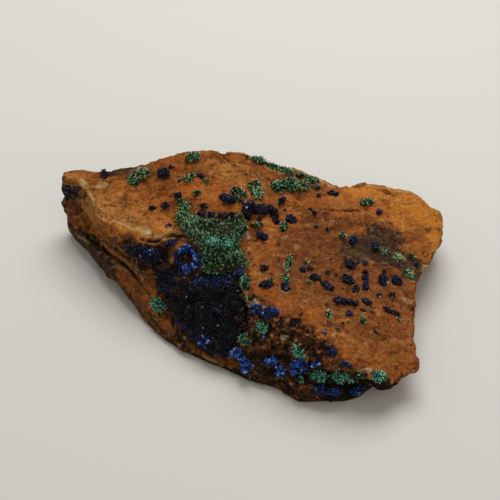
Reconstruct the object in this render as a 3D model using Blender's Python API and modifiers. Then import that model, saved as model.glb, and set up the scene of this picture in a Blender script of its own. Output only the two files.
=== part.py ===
"""Azurite specimen: azurite and malachite crystals on a slab of rusty limonite.

Run it with  blender --background --python part.py  or from Blender's text editor.
Metres, +Z up.  The origin is on the ground, under the middle of the slab, which rests on its flat underside.

The slab is a loft round its upright walls with a domed top, worked over with chips and grain.  Every crystal
group then grows on it where a line of sight from the display viewpoint meets the rock: "across" and "up" are
millimetres on the display plane, which faces a viewer who looks down at the specimen's best side.
"""

import math

import bmesh
import bpy
import numpy as np
from mathutils import Matrix, Vector, noise
from mathutils.bvhtree import BVHTree

# ---------------------------------------------------------------- driving dimensions
SPECIMEN_LENGTH = 0.120
MM = SPECIMEN_LENGTH / 120  # one millimetre of the layout below
GAP = 0.3 * MM  # between a crystal group and whatever it grows on
VIEW_TILT = math.radians(50)  # how steeply the display viewpoint looks down
VIEW_DISTANCE = 400 * MM
VIEW_AIM = Vector((0, 13.3, 14)) * MM

ROCK_VOXEL = 1.0 * MM
ROCK_TRIANGLES = 2100
BASE_FLAT = 0.9 * MM  # below this height the rock is ground flat
MAT_REACH = 9 * MM  # how far a mat's outline prism reaches before and behind the rock's surface
TOP_CENTRE = (10, 18)  # the top face's rings shrink towards this plan point, in mm
TOP_RINGS = (0.97, 0.9, 0.8, 0.68, 0.55, 0.42, 0.29, 0.16, 0.05)
SAMPLES_PER_STATION = 4

# Heights of the wall's rings, as shares of the lip's height, with three ways of standing out from the lip:
# the share of the wall's run on an even slope, the same on a wall with a ledge, and how far each ring goes
# into the groove between the upper and the lower slab (negative stands proud).
WALL_RINGS = (
    # height, slope, ledge, groove
    (0.00, 0.94, 0.80, 0.15),
    (0.08, 1.00, 0.95, 0.05),
    (0.20, 0.92, 1.04, -0.30),
    (0.31, 0.80, 1.00, -0.35),
    (0.39, 0.70, 0.66, 0.45),
    (0.46, 0.61, 0.30, 1.00),
    (0.53, 0.52, 0.22, 0.45),
    (0.66, 0.37, 0.22, -0.25),
    (0.80, 0.22, 0.20, -0.35),
    (0.92, 0.09, 0.10, -0.15),
)

# Stations round the lip of the top face, counterclockwise from the left corner:
# across, up and height of the lip, the way the wall faces in degrees, its run out to the foot, its groove.
STATIONS = (
    (-59.0, 24.5, 26.0, 185, 1.2, -0.8),
    (-57.0, 22.0, 25.5, 212, 3.2, -0.6),
    (-52.0, 21.0, 25.0, 240, 6.5, 1.6),
    (-48.0, 14.0, 24.0, 216, 4.5, 2.2),
    (-45.0, 9.5, 23.0, 216, 4.0, 2.4),
    (-40.5, 6.0, 22.5, 228, 5.0, 2.6),
    (-36.0, 4.0, 22.5, 232, 6.5, 2.6),
    (-31.0, 2.0, 22.5, 240, 11.0, 2.4),
    (-26.5, 3.0, 23.0, 252, 17.5, 1.6),
    (-22.0, 4.0, 23.5, 259, 23.5, 0.8),
    (-17.0, 2.0, 23.5, 262, 25.0, 0.0),
    (-11.0, 1.0, 23.5, 265, 27.5, 0.0),
    (-4.0, 0.0, 23.5, 265, 29.5, 0.0),
    (-0.5, -7.0, 22.5, 268, 24.0, 0.0),
    (1.5, -15.5, 21.5, 276, 16.0, 0.0),
    (8.0, -20.5, 21.0, 276, 13.0, 0.3),
    (15.5, -25.5, 20.0, 272, 12.0, 0.6),
    (23.5, -30.0, 19.0, 272, 7.5, 0.8),
    (31.0, -34.5, 17.0, 270, 3.5, 0.8),
    (37.5, -39.0, 13.5, 270, -2.2, 0.8),
    (42.5, -44.5, 9.0, 290, -8.5, 0.4),
    (47.5, -41.0, 9.5, 300, -9.0, 0.4),
    (53.5, -37.5, 11.0, 320, -9.5, 0.4),
    (51.5, -31.0, 12.0, 0, -4.0, 0.6),
    (51.5, -23.5, 12.5, 0, -2.5, 0.8),
    (52.5, -15.5, 13.0, 0, -3.0, 0.8),
    (52.3, -11.0, 13.5, 345, -3.5, 0.6),
    (54.5, -6.0, 13.0, 335, -4.5, 0.6),
    (57.0, -2.0, 13.5, 340, -5.0, 0.8),
    (60.5, 4.5, 14.5, 350, -5.5, 0.8),
    (61.5, 10.8, 15.0, 20, -4.5, 0.8),
    (57.0, 15.0, 16.0, 60, -2.0, 0.8),
    (47.0, 19.5, 19.0, 85, 1.0, 0.8),
    (37.5, 21.0, 21.0, 90, 2.0, 1.2),
    (29.5, 20.5, 22.0, 90, 3.5, 1.4),
    (22.0, 23.0, 24.0, 90, 3.0, 1.4),
    (12.5, 25.5, 27.0, 90, 5.0, 1.0),
    (4.0, 27.8, 30.0, 88, 6.5, 0.8),
    (-4.5, 30.5, 33.0, 85, 6.0, 1.2),
    (-12.0, 32.2, 35.5, 90, 5.0, 1.6),
    (-19.5, 32.0, 35.5, 95, 5.5, 1.6),
    (-28.0, 29.0, 33.0, 100, 5.0, 1.2),
    (-36.0, 25.8, 30.0, 95, 5.5, 0.8),
    (-44.0, 25.5, 28.0, 90, 4.0, 1.0),
    (-50.0, 25.5, 27.0, 95, 2.5, 1.2),
    (-54.5, 25.5, 26.5, 105, 1.0, 1.0),
)

# Landmarks on the top face, away from its lip: across, up, height.
TOP_LANDMARKS = (
    (-16.0, 22.0, 31.4),  # crest that runs forward from the peak
    (-15.0, 12.0, 27.4),
    (-36.0, 15.0, 25.8),
    (-50.0, 21.0, 26.0),
    (4.0, 18.0, 27.2),
    (12.0, 4.0, 23.8),
    (22.0, -14.0, 20.6),
    (33.0, 8.0, 19.6),
    (36.0, 1.0, 17.0),  # bottom of the brown hollow
    (43.0, 1.0, 15.6),
    (50.0, 8.0, 17.4),  # rounded shoulder on the right
    (40.0, -24.0, 15.6),
)

# Fracture planes that clip the rock's corners: a point on the plane in mm, and the way it faces.
FRACTURES = (
    ((0.0, 41.0, 8.0), (0.06, 1.0, -0.12)),
    ((-30.0, 40.0, 6.0), (-0.2, 1.0, -0.25)),
    ((59.5, 24.0, 5.0), (1.0, 0.25, -0.7)),
    ((51.0, -15.0, 2.0), (1.0, -0.5, -0.8)),
    ((-59.5, 33.0, 5.0), (-1.0, -0.2, -0.2)),
)

# Crystal groups: a name, then one or more strokes that overlap.  Each stroke is across, up, length, width and
# angle in degrees from "across".
MALACHITE_TUFTS = (
    ("shoulder_tuft", (-36.0, 22.2, 4.0, 3.8, 30), (-33.4, 23.8, 4.0, 3.6, 30)),
    ("peak_tuft", (-18.0, 29.0, 4.8, 3.0, 10)),
    ("crest_inlay", (-19.0, 22.0, 4.6, 2.4, 5)),
    ("north_knot", (-3.0, 18.0, 5.2, 3.3, -30)),
    ("north_fan", (2.2, 20.3, 4.2, 3.6, 20), (2.8, 17.6, 3.6, 3.2, 80)),
    ("north_spread", (8.8, 19.8, 5.0, 4.0, 0), (12.8, 20.6, 4.8, 4.4, 0), (16.2, 19.8, 4.4, 3.4, -10)),
    (
        "rim_strip", (3.0, 27.6, 5.6, 2.5, -20), (7.2, 26.1, 5.6, 2.5, -20), (11.4, 24.6, 5.6, 2.5, -20),
        (15.6, 23.1, 5.6, 2.5, -20), (19.4, 21.7, 5.0, 2.3, -20),
    ),
    ("colony_spur", (10.7, 7.0, 4.0, 2.7, 80)),
    ("east_tuft", (37.0, 14.5, 6.0, 2.9, -5)),
    ("brown_bead", (46.0, -2.5, 4.2, 2.8, 80)),
    ("east_rim_tuft", (50.2, -8.5, 5.4, 2.6, -62)),
    ("stalk", (11.6, -7.0, 6.9, 2.6, 80)),
    ("shore_tuft", (-1.0, -10.5, 5.6, 4.4, -50)),
    ("field_chain", (24.0, -17.2, 4.8, 2.5, 82), (24.6, -20.4, 4.8, 2.7, -65)),
    ("field_twin", (35.1, -21.8, 3.6, 2.9, -60)),
    ("slope_tuft_high", (4.0, -23.5, 4.2, 3.1, 40)),
    ("slope_tuft_low", (-1.5, -28.0, 6.0, 3.8, -10)),
    ("slope_star", (15.5, -31.5, 5.4, 3.8, -60)),
    ("edge_tufts", (21.8, -39.5, 5.6, 4.4, -30), (26.4, -39.6, 5.8, 4.2, 0), (30.6, -39.4, 5.8, 4.4, 0)),
    ("edge_tuft_east", (40.0, -39.3, 4.3, 3.8, 0)),
    ("crust_edge_tuft", (-28.5, -17.0, 5.4, 3.9, -30)),
)
AZURITE_CLUSTERS = (
    ("west_post", (-45.5, 23.6, 3.4, 2.2, 90)),
    ("shoulder", (-27.0, 24.0, 3.8, 3.1, 0)),
    ("crest_row", (-11.5, 11.0, 6.2, 2.1, -5)),
    ("north_pair", (-7.5, 16.0, 5.6, 3.1, -20)),
    ("colony", (-0.3, 12.8, 6.4, 4.4, 75), (4.0, 12.6, 5.0, 3.4, 10), (6.8, 12.2, 4.2, 2.8, -10)),
    ("spur_east", (13.0, 9.5, 3.8, 3.1, -20)),
    ("hook", (3.5, 4.5, 4.1, 2.5, -20)),
    ("blade", (24.5, 18.0, 5.6, 1.8, -15)),
    ("brown_west", (32.0, 3.0, 3.4, 2.8, 80)),
    ("brown_east", (39.0, 1.0, 3.1, 2.5, 80)),
    ("field_top", (31.0, -4.5, 3.8, 2.5, -25)),
    ("field_west", (16.5, -7.0, 3.4, 2.5, -45)),
    ("field_chain_head", (20.3, -8.8, 4.4, 3.0, -40), (23.8, -10.9, 4.6, 2.2, -30)),
    ("field_middle", (30.5, -9.0, 4.4, 2.5, -25)),
    ("field_post", (36.0, -10.5, 5.2, 2.5, 85)),
    ("field_wedge", (33.0, -12.3, 3.6, 1.8, -70)),
    ("field_tall", (41.5, -9.5, 4.4, 2.8, 85)),
    ("field_east", (46.0, -9.6, 3.8, 2.6, -25)),
    ("field_low_east", (36.5, -16.5, 4.1, 2.5, -20)),
    ("field_bar", (29.9, -16.2, 6.2, 2.2, -8)),
    ("field_low", (31.0, -20.0, 3.0, 2.7, 0)),
    ("field_bow", (44.0, -19.5, 5.3, 2.2, -25)),
    ("shore_crest", (5.0, -11.5, 4.7, 3.1, 5)),
    ("stalk_foot", (11.0, -12.2, 3.8, 2.8, -60)),
    ("shore_strip", (-5.0, -7.6, 6.0, 2.2, 30)),
    ("slope_bead", (26.0, -32.0, 3.8, 2.8, -70)),
    ("ledge_row", (2.8, -18.6, 5.2, 3.1, -12), (6.2, -19.6, 5.4, 3.2, -12)),
    ("front_west", (-4.0, -32.4, 5.0, 3.8, -20), (-1.0, -36.2, 5.4, 3.8, -60)),
    ("front_middle", (7.4, -35.0, 6.0, 3.0, 5), (9.4, -37.8, 4.2, 3.6, -50)),
    ("front_east", (15.4, -36.6, 5.2, 4.2, 0)),
    ("front_bead", (20.6, -35.2, 3.8, 2.5, 10)),
    ("front_low", (22.5, -44.0, 4.4, 2.8, 0), (26.6, -44.0, 4.4, 2.6, 0)),
    ("front_corner", (34.0, -43.6, 4.1, 3.1, 30)),
)
# Small crystals that are one with the rock: across, up, size.
SMALL_CRYSTALS = (
    (-22.5, 17.0, 2.4),
    (-26.5, 14.0, 2.6),
    (-14.5, 14.0, 2.2),
    (-6.0, 11.0, 2.4),
    (10.0, 15.5, 2.6),
    (40.5, 12.0, 2.2),
    (36.0, -4.0, 2.2),
    (18.5, -5.5, 2.2),
    (4.5, -5.5, 2.6),
    (40.5, -14.0, 2.0),
    (52.0, -4.5, 2.0),
    (-16.5, 18.0, 2.6),
    (29.0, 4.5, 2.0),
    (42.0, -0.5, 2.0),
    (44.5, -14.0, 2.2),
)
RING_PLACE = (-19.4, -2.8)  # the rosette ring of azurite: its middle, then its radius and its width
RING_RADIUS = 3.1
RING_WIDTH = 2.8
RING_LUMPS = 7

# Mats that coat the rock: outline on the display plane, thickness over the gap, bumpiness, crystals on top.
MATS = {
    "malachite_mound": {
        "outline": (
            (-21.0, 15.5), (-19.0, 14.0), (-19.0, 10.2), (-14.0, 9.5), (-8.0, 9.4), (-3.0, 10.0),
            (-0.5, 8.4), (-1.5, 5.5), (-3.0, 3.5), (-3.4, 1.0), (-1.4, -2.5), (-1.6, -5.0),
            (-5.0, -6.0), (-9.0, -7.2), (-14.0, -7.0), (-15.0, -4.0), (-15.0, -0.2), (-16.8, 1.6),
            (-18.6, 3.2), (-21.5, 7.0), (-22.0, 12.0),
        ),
        "thickness": 1.4, "bumps": 0.6, "spacing": 5.0, "crystal": 2.7,
    },
    "azurite_crust": {
        "outline": (
            (-30.6, -5.8), (-26.6, -4.2), (-22.5, -8.0), (-18.8, -10.0), (-14.0, -8.2), (-8.5, -8.8),
            (-3.6, -10.6), (-3.9, -14.0), (-1.8, -18.8), (-2.2, -25.0), (-6.0, -31.0), (-8.0, -34.0),
            (-13.8, -31.0), (-18.8, -27.0), (-23.6, -21.6), (-25.4, -15.2),
        ),
        "thickness": 1.1, "bumps": 0.5, "spacing": 7.0, "crystal": 3.6,
    },
    "azurite_lip_patch": {
        "outline": (
            (-40.0, 2.6), (-36.0, 1.2), (-31.5, 0.4), (-28.0, -0.2), (-27.6, -3.4), (-31.0, -5.0),
            (-34.5, -5.4), (-36.0, -2.5), (-39.5, -0.2),
        ),
        "thickness": 0.9, "bumps": 0.4, "spacing": 6.0, "crystal": 2.6,
    },
}

FINISHES = {
    "limonite": ((0.30, 0.115, 0.025), 0.9, 0.0),
    "azurite": ((0.006, 0.012, 0.085), 0.28, 0.0),
    "malachite": ((0.018, 0.13, 0.055), 0.6, 0.0),
}


# ---------------------------------------------------------------- lines of sight
def sight(across, up):
    """The eye, and the direction from it through a point of the display plane."""
    back = Vector((0, -math.cos(VIEW_TILT), math.sin(VIEW_TILT)))
    upward = Vector((0, math.sin(VIEW_TILT), math.cos(VIEW_TILT)))
    eye = VIEW_AIM + back * VIEW_DISTANCE
    on_plane = VIEW_AIM + Vector((1, 0, 0)) * across * MM + upward * up * MM
    return eye, (on_plane - eye).normalized()


def at_height(across, up, height):
    """Where the line of sight passes a height above the ground, in metres."""
    eye, way = sight(across, up)
    return eye + way * ((height - eye.z) / way.z)


def on_rock(rock_tree, across, up):
    """Where the line of sight meets the rock, and the normal there; just past the back edge, it is lowered."""
    for lowered in range(8):
        eye, way = sight(across, up - 0.5 * lowered)
        place, normal, _, _ = rock_tree.ray_cast(eye, way)
        if place is not None:
            return place, normal
    raise ValueError(f"the line of sight ({across}, {up}) misses the rock")


# ---------------------------------------------------------------- meshes and modifiers
def start_collection(name):
    collection = bpy.data.collections.new(name)
    bpy.context.scene.collection.children.link(collection)
    return collection


def new_object(name, bm, collection):
    """An object of triangles, because a Boolean needs flat faces."""
    bmesh.ops.triangulate(bm, faces=bm.faces)
    mesh = bpy.data.meshes.new(name)
    bm.to_mesh(mesh)
    bm.free()
    obj = bpy.data.objects.new(name, mesh)
    collection.objects.link(obj)
    return obj


def add_modifier(obj, kind, **settings):
    modifier = obj.modifiers.new(kind.lower(), kind)
    for key, value in settings.items():
        setattr(modifier, key, value)
    return modifier


def bake_modifiers(obj):
    """Replaces an object's mesh by its evaluated one and drops the modifiers."""
    graph = bpy.context.evaluated_depsgraph_get()
    mesh = bpy.data.meshes.new_from_object(obj.evaluated_get(graph))
    obj.modifiers.clear()
    obj.data = mesh


def combine(obj, other, operation, own_overlaps=True):
    """Applies one Boolean; own_overlaps also joins each object's shapes where they cross each other."""
    add_modifier(obj, "BOOLEAN", object=other, operation=operation, solver="EXACT", use_self=own_overlaps)
    bake_modifiers(obj)


def tree_of(obj):
    bm = bmesh.new()
    bm.from_mesh(obj.data)
    tree = BVHTree.FromBMesh(bm)
    bm.free()
    return tree


def swollen(obj, distance, collection, bumps=0.0):
    """A copy of an object, grown outwards by a distance, with bumps that only add to it."""
    bm = bmesh.new()
    bm.from_mesh(obj.data)
    bm.normal_update()
    moves = []
    for vertex in bm.verts:
        rough = 0.5 + 0.5 * noise.noise(vertex.co / (2.6 * MM))
        moves.append(vertex.normal * (distance + bumps * max(0.0, rough)))
    for vertex, move in zip(bm.verts, moves):
        vertex.co += move
    return new_object(obj.name + "_swollen", bm, collection)


def islands(bm):
    """The separate bodies of a mesh, as lists of faces."""
    left = set(bm.faces)
    while left:
        found, edge_of_search = set(), [left.pop()]
        while edge_of_search:
            face = edge_of_search.pop()
            found.add(face)
            for edge in face.edges:
                for neighbour in edge.link_faces:
                    if neighbour in left:
                        left.remove(neighbour)
                        edge_of_search.append(neighbour)
        yield list(found)


def volume_of(faces):
    total = 0.0
    for face in faces:
        corners = [vertex.co for vertex in face.verts]
        for second, third in zip(corners[1:-1], corners[2:]):
            total += corners[0].dot(second.cross(third)) / 6
    return abs(total)


def keep_largest_body(obj):
    """Keeps only the main body of a Boolean's result, made of triangles."""
    bm = bmesh.new()
    bm.from_mesh(obj.data)
    bodies = sorted(islands(bm), key=volume_of, reverse=True)
    for crumbs in bodies[1:]:
        bmesh.ops.delete(bm, geom=crumbs, context="FACES")
    bmesh.ops.triangulate(bm, faces=bm.faces)
    bm.to_mesh(obj.data)
    bm.free()


# ---------------------------------------------------------------- the rock
def round_curve(points, steps):
    """A closed Catmull-Rom curve through the points."""
    points = np.asarray(points, float)
    before, after, beyond = np.roll(points, 1, 0), np.roll(points, -1, 0), np.roll(points, -2, 0)
    rows = []
    for t in np.arange(steps) / steps:
        rows.append(
            0.5 * (2 * points + (after - before) * t + (2 * before - 5 * points + 4 * after - beyond) * t**2
                   + (3 * points - before - 3 * after + beyond) * t**3)
        )
    return np.stack(rows, 1).reshape(-1, points.shape[1])


class TopFace:
    """The height of the top face over a plan point: a thin plate bent through the lip and the landmarks."""

    def __init__(self, points):
        self.points = np.asarray(points, float)
        plan = self.points[:, :2]
        count = len(plan)
        system = np.zeros((count + 3, count + 3))
        system[:count, :count] = self.bend(plan, plan) + 0.02 * np.eye(count)
        system[:count, count:] = np.hstack([np.ones((count, 1)), plan])
        system[count:, :count] = system[:count, count:].T
        self.weights = np.linalg.solve(system, np.append(self.points[:, 2], (0, 0, 0)))

    @staticmethod
    def bend(a, b):
        squared = ((a[:, None] - b[None]) ** 2).sum(2)
        return 0.5 * squared * np.log(squared + 1e-9) * 1e-3

    def height(self, plan):
        plan = np.asarray(plan, float)
        basis = np.hstack([self.bend(plan, self.points[:, :2]), np.ones((len(plan), 1)), plan])
        return basis @ self.weights


def wall_rings():
    """Plan and height, in mm, of the rings from the foot up to the lip, one row of points for each."""
    rings = []
    lips = [at_height(a, u, h * MM) / MM for a, u, h, _, _, _ in STATIONS]
    for height, slope, ledge, groove in (*WALL_RINGS, (1.0, 0.0, 0.0, 0.0)):
        ring = []
        for lip, (_, _, _, facing, run, cut) in zip(lips, STATIONS):
            stepped = min(1.0, cut / 1.5) if run < 10 else 0.0
            reach = run * (slope + (ledge - slope) * stepped) - groove * cut
            heading = Vector((math.cos(math.radians(facing)), math.sin(math.radians(facing)), 0))
            place = lip + heading * reach
            ring.append((place.x, place.y, lip.z * height))
        rings.append(round_curve(ring, SAMPLES_PER_STATION))
    return rings


def top_rings(lip):
    """Rings from the lip in towards the middle of the top face."""
    landmarks = [tuple(at_height(a, u, h * MM) / MM) for a, u, h in TOP_LANDMARKS]
    face = TopFace([*map(tuple, lip[::SAMPLES_PER_STATION]), *landmarks])
    centre = np.array(TOP_CENTRE, float)
    rings = []
    for share in TOP_RINGS:
        plan = centre + (lip[:, :2] - centre) * share
        rings.append(np.column_stack([plan, face.height(plan)]))
    return rings


def loft(rings):
    """A closed mesh over rings of equal length, with the first and the last ring capped."""
    bm = bmesh.new()
    rows = [[bm.verts.new(Vector(point) * MM) for point in ring] for ring in rings]
    count = len(rows[0])
    for lower, upper in zip(rows, rows[1:]):
        for i in range(count):
            j = (i + 1) % count
            bm.faces.new((lower[i], lower[j], upper[j], upper[i]))
    bm.faces.new(reversed(rows[0]))
    bm.faces.new(rows[-1])
    bmesh.ops.recalc_face_normals(bm, faces=bm.faces)
    return bm


def smooth_step(low, high, value):
    share = min(1.0, max(0.0, (value - low) / (high - low)))
    return share * share * (3 - 2 * share)


def chip(point, size):
    """Flat chips: each cell of the rock is planed off at its own tilt. In mm, from -1 to 1 or so."""
    centre = noise.voronoi(point / size)[1][0]
    noise.seed_set(1 + int(abs(centre.x * 613 + centre.y * 359 + centre.z * 173)))
    return (point / size - centre).dot(noise.random_unit_vector())


def work_rock(obj):
    """Chips the walls, undulates and grains every face, and grinds the underside flat."""
    bm = bmesh.new()
    bm.from_mesh(obj.data)
    bm.normal_update()
    moves = []
    for vertex in bm.verts:
        point, normal = vertex.co / MM, vertex.normal
        wall = 1 - smooth_step(0.55, 0.9, normal.z)
        slope = (
            smooth_step(0.3, 0.6, normal.z) * smooth_step(2, -6, point.y) * smooth_step(-3, 3, point.x) * wall
        )
        strata = Vector((point.x, point.y, point.z * 2.2))
        move = 0.75 * noise.fractal(point / 13, 1.0, 2.1, 3)
        move += wall * 0.9 * chip(point, 8.5)
        move += wall * 0.8 * noise.fractal(strata / 6.5, 0.8, 2.1, 3)
        move += slope * 0.8 * noise.fractal(point / 3.4, 0.6, 2.0, 3)
        move += (1 - wall) * (0.25 * chip(point, 9.0) + 0.28 * noise.fractal(point / 5, 0.9, 2.1, 3))
        moves.append(normal * move * smooth_step(0.4, 3.5, point.z) * MM)
    for vertex, move in zip(bm.verts, moves):
        vertex.co += move
        if vertex.co.z < BASE_FLAT:
            vertex.co.z = 0
    for place, facing in FRACTURES:
        plane = bmesh.ops.bisect_plane(
            bm, geom=[*bm.verts, *bm.edges, *bm.faces], plane_co=Vector(place) * MM,
            plane_no=Vector(facing).normalized(), clear_outer=True,
        )
        rim = [piece for piece in plane["geom_cut"] if isinstance(piece, bmesh.types.BMEdge)]
        if rim:
            bmesh.ops.holes_fill(bm, edges=rim)
    bmesh.ops.triangulate(bm, faces=bm.faces)
    bm.to_mesh(obj.data)
    bm.free()


def make_rock(parts):
    rings = wall_rings()
    obj = new_object("limonite_matrix", loft([*rings, *top_rings(rings[-1])]), parts)
    add_modifier(obj, "REMESH", mode="VOXEL", voxel_size=ROCK_VOXEL)
    bake_modifiers(obj)
    work_rock(obj)
    triangles = len(obj.data.polygons)
    add_modifier(obj, "DECIMATE", ratio=ROCK_TRIANGLES / triangles)
    bake_modifiers(obj)
    keep_largest_body(obj)
    return obj


# ---------------------------------------------------------------- crystals
def frame_at(place, normal, along_it, lean=0.0, sideways=0.0):
    """A frame that stands on a surface with its X axis along a direction, then leaned along and across it."""
    across_it = normal.cross(along_it).normalized()
    stand = Matrix((across_it.cross(normal), across_it, normal)).transposed().to_4x4()
    leaned = Matrix.Rotation(lean, 4, "Y") @ Matrix.Rotation(sideways, 4, "X")
    return Matrix.Translation(place) @ stand @ leaned


def add_blade(bm, frame, width, thickness, height):
    """A tabular azurite crystal: a flattened prism with bevelled edges and a slanting chisel end."""
    made = bmesh.ops.create_cone(bm, cap_ends=True, segments=4, radius1=0.62, radius2=0.42, depth=1.0)
    quarter = Matrix.Rotation(math.pi / 4, 4, "Z")
    bmesh.ops.transform(bm, matrix=quarter, verts=made["verts"])
    for vertex in made["verts"]:
        if vertex.co.z > 0:
            vertex.co.z += 0.5 * vertex.co.x
            vertex.co.y *= 0.6
    shape = Matrix.Diagonal((width, thickness, height, 1.0))
    bmesh.ops.transform(bm, matrix=frame @ shape @ Matrix.Translation((0, 0, 0.2)), verts=made["verts"])


def add_knob(bm, frame, length, width, height):
    """A lump of intergrown crystals, with flat facets."""
    made = bmesh.ops.create_icosphere(bm, subdivisions=1, radius=1.0)
    for vertex in made["verts"]:
        vertex.co *= 1.05 + 0.35 * noise.noise(vertex.co * 1.7 + frame.translation / (2 * MM))
    shape = Matrix.Diagonal((length / 2, width / 2, height, 1.0))
    bmesh.ops.transform(bm, matrix=frame @ shape, verts=made["verts"])


def add_tuft(bm, frame, length, width, height):
    """A knobbly dome of malachite needles."""
    made = bmesh.ops.create_uvsphere(bm, u_segments=6, v_segments=4, radius=1.0)
    for vertex in made["verts"]:
        vertex.co *= 1.03 + 0.3 * noise.noise(vertex.co * 1.9 + frame.translation / (2 * MM))
    shape = Matrix.Diagonal((length / 2, width / 2, height, 1.0))
    bmesh.ops.transform(bm, matrix=frame @ shape, verts=made["verts"])


def places_along(tree, strokes, pitch):
    """Spots on the rock along each stroke: place, normal, the stroke's direction there, length and width."""
    for across, up, length, width, angle in strokes:
        reach = max(0.0, length - width)
        count = 1 + round(reach / (pitch * width))
        way = (math.cos(math.radians(angle)), math.sin(math.radians(angle)))
        for i in range(count):
            offset = 0.0 if count == 1 else reach * (i / (count - 1) - 0.5)
            a, u = across + way[0] * offset, up + way[1] * offset
            place, normal = on_rock(tree, a, u)
            ahead, _ = on_rock(tree, a + 0.4 * way[0], u + 0.4 * way[1])
            share = length if count == 1 else max(width, 1.7 * reach / (count - 1))
            yield place, normal, (ahead - place).normalized(), share * MM, width * MM


def azurite_cluster(tree, number, strokes):
    """A faceted knob at each place; a blade crosses the wider ones."""
    bm = bmesh.new()
    rng = np.random.default_rng(number)
    for place, normal, axis, length, width in places_along(tree, strokes, 2.0):
        knob = frame_at(place, normal, axis, rng.uniform(-0.2, 0.2), rng.uniform(-0.2, 0.2))
        add_knob(bm, knob, 1.15 * length, 1.15 * width, 0.62 * width)
        if width > 3.6 * MM:
            crossing = (axis + normal.cross(axis) * rng.uniform(1.5, 3.0)).normalized()
            frame = frame_at(place, normal, crossing, rng.uniform(-0.5, 0.5), rng.uniform(-0.35, 0.35))
            add_blade(bm, frame, 1.2 * width, 0.6 * width, 1.3 * width)
    return bm


def malachite_tuft(tree, number, strokes):
    """Rounded tufts that merge along the group's length."""
    bm = bmesh.new()
    rng = np.random.default_rng(100 + number)
    for place, normal, axis, length, width in places_along(tree, strokes, 2.6):
        size = width * rng.uniform(1.0, 1.15)
        add_tuft(bm, frame_at(place, normal, axis), 1.2 * length, size, 0.28 * size + 0.5 * MM)
    return bm


def azurite_ring(tree):
    """A rosette ring: rough knobs on a circle round a bare patch of rock."""
    bm = bmesh.new()
    across, up = RING_PLACE
    for k in range(RING_LUMPS):
        turn = 2 * math.pi * k / RING_LUMPS
        way = (math.cos(turn), math.sin(turn))
        place, normal = on_rock(tree, across + RING_RADIUS * way[0], up + RING_RADIUS * way[1])
        outward, _ = on_rock(tree, across + (RING_RADIUS + 0.4) * way[0], up + (RING_RADIUS + 0.4) * way[1])
        size = RING_WIDTH * MM
        frame = frame_at(place, normal, outward - place, 0.3 * math.sin(5 * turn), 0.2 * math.cos(4 * turn))
        add_knob(bm, frame, 1.1 * size, 1.3 * size, (0.6 + 0.12 * math.cos(3 * turn)) * size)
    return bm


def inside(outline, across, up):
    """Whether a point of the display plane is within an outline."""
    within = False
    for (a0, u0), (a1, u1) in zip(outline, outline[1:] + outline[:1]):
        if (u0 > up) != (u1 > up) and across < a0 + (up - u0) / (u1 - u0) * (a1 - a0):
            within = not within
    return within


def mat_cutter(tree, outline):
    """A prism along the lines of sight, from in front of the rock to below its surface."""
    near, far = [], []
    for across, up in outline:
        place, _ = on_rock(tree, across, up)
        _, way = sight(across, up)
        near.append((place - way * MAT_REACH) / MM)
        far.append((place + way * MAT_REACH) / MM)
    return loft([near, far])


def scattered_blade(bm, rng, place, normal, size, height):
    """A blade that stands about upright and faces any way."""
    facing = normal.orthogonal().normalized()
    facing.rotate(Matrix.Rotation(rng.uniform(0, 2 * math.pi), 3, normal))
    frame = frame_at(place, normal, facing, rng.uniform(-0.4, 0.4), rng.uniform(-0.4, 0.4))
    add_blade(bm, frame, size, 0.75 * size, height)


def mat_crystals(tree, mat, seed):
    """Crystals on a jittered grid over a mat."""
    bm = bmesh.new()
    rng = np.random.default_rng(seed)
    outline, spacing = mat["outline"], mat["spacing"]
    low, high = np.min(outline, 0), np.max(outline, 0)
    for u in np.arange(low[1], high[1], spacing * 0.8):
        for a in np.arange(low[0], high[0], spacing):
            across, up = a + rng.uniform(-0.3, 0.3) * spacing, u + rng.uniform(-0.3, 0.3) * spacing
            if inside(outline, across, up):
                place, normal = on_rock(tree, across, up)
                size = mat["crystal"] * rng.uniform(0.85, 1.2) * MM
                scattered_blade(bm, rng, place + normal * mat["thickness"] * MM, normal, size, 1.1 * size)
    return bm


def small_crystals(tree):
    bm = bmesh.new()
    rng = np.random.default_rng(3)
    for across, up, size in SMALL_CRYSTALS:
        place, normal = on_rock(tree, across, up)
        scattered_blade(bm, rng, place, normal, size * MM, 0.75 * size * MM)
    return bm


# ---------------------------------------------------------------- putting it together
class Specimen:
    """Grows each crystal group clear of the rock and of the groups before it."""

    def __init__(self):
        self.parts = start_collection("azurite_specimen")
        self.cutters = start_collection("cutters")
        self.rock = make_rock(self.parts)
        self.tree = tree_of(self.rock)
        self.fuse_small_crystals()
        self.shells = [swollen(self.rock, GAP, self.cutters)]

    def fuse_small_crystals(self):
        extra = new_object("small_crystals", small_crystals(self.tree), self.cutters)
        combine(self.rock, extra, "UNION", own_overlaps=False)
        keep_largest_body(self.rock)

    def clear_of_neighbours(self, obj):
        """Cuts an object back from the gap round everything grown so far, and then counts it in."""
        combine(obj, self.shells[0], "DIFFERENCE")
        for shell in self.shells[1:]:
            if tree_of(obj).overlap(tree_of(shell)):
                combine(obj, shell, "DIFFERENCE")
        keep_largest_body(obj)
        self.shells.append(swollen(obj, GAP, self.cutters))

    def grow(self, name, bm):
        obj = new_object(name, bm, self.parts)
        self.clear_of_neighbours(obj)
        return obj

    def coat(self, name, mat, seed):
        """A mat: the part of the swollen rock within the outline, with crystals on it."""
        obj = new_object(name, mat_cutter(self.tree, mat["outline"]), self.parts)
        skin = swollen(self.rock, mat["thickness"] * MM + GAP, self.cutters, mat["bumps"] * MM)
        combine(obj, skin, "INTERSECT")
        crystals = new_object(name + "_crystals", mat_crystals(self.tree, mat, seed), self.cutters)
        combine(obj, crystals, "UNION")
        self.clear_of_neighbours(obj)
        return obj


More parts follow.
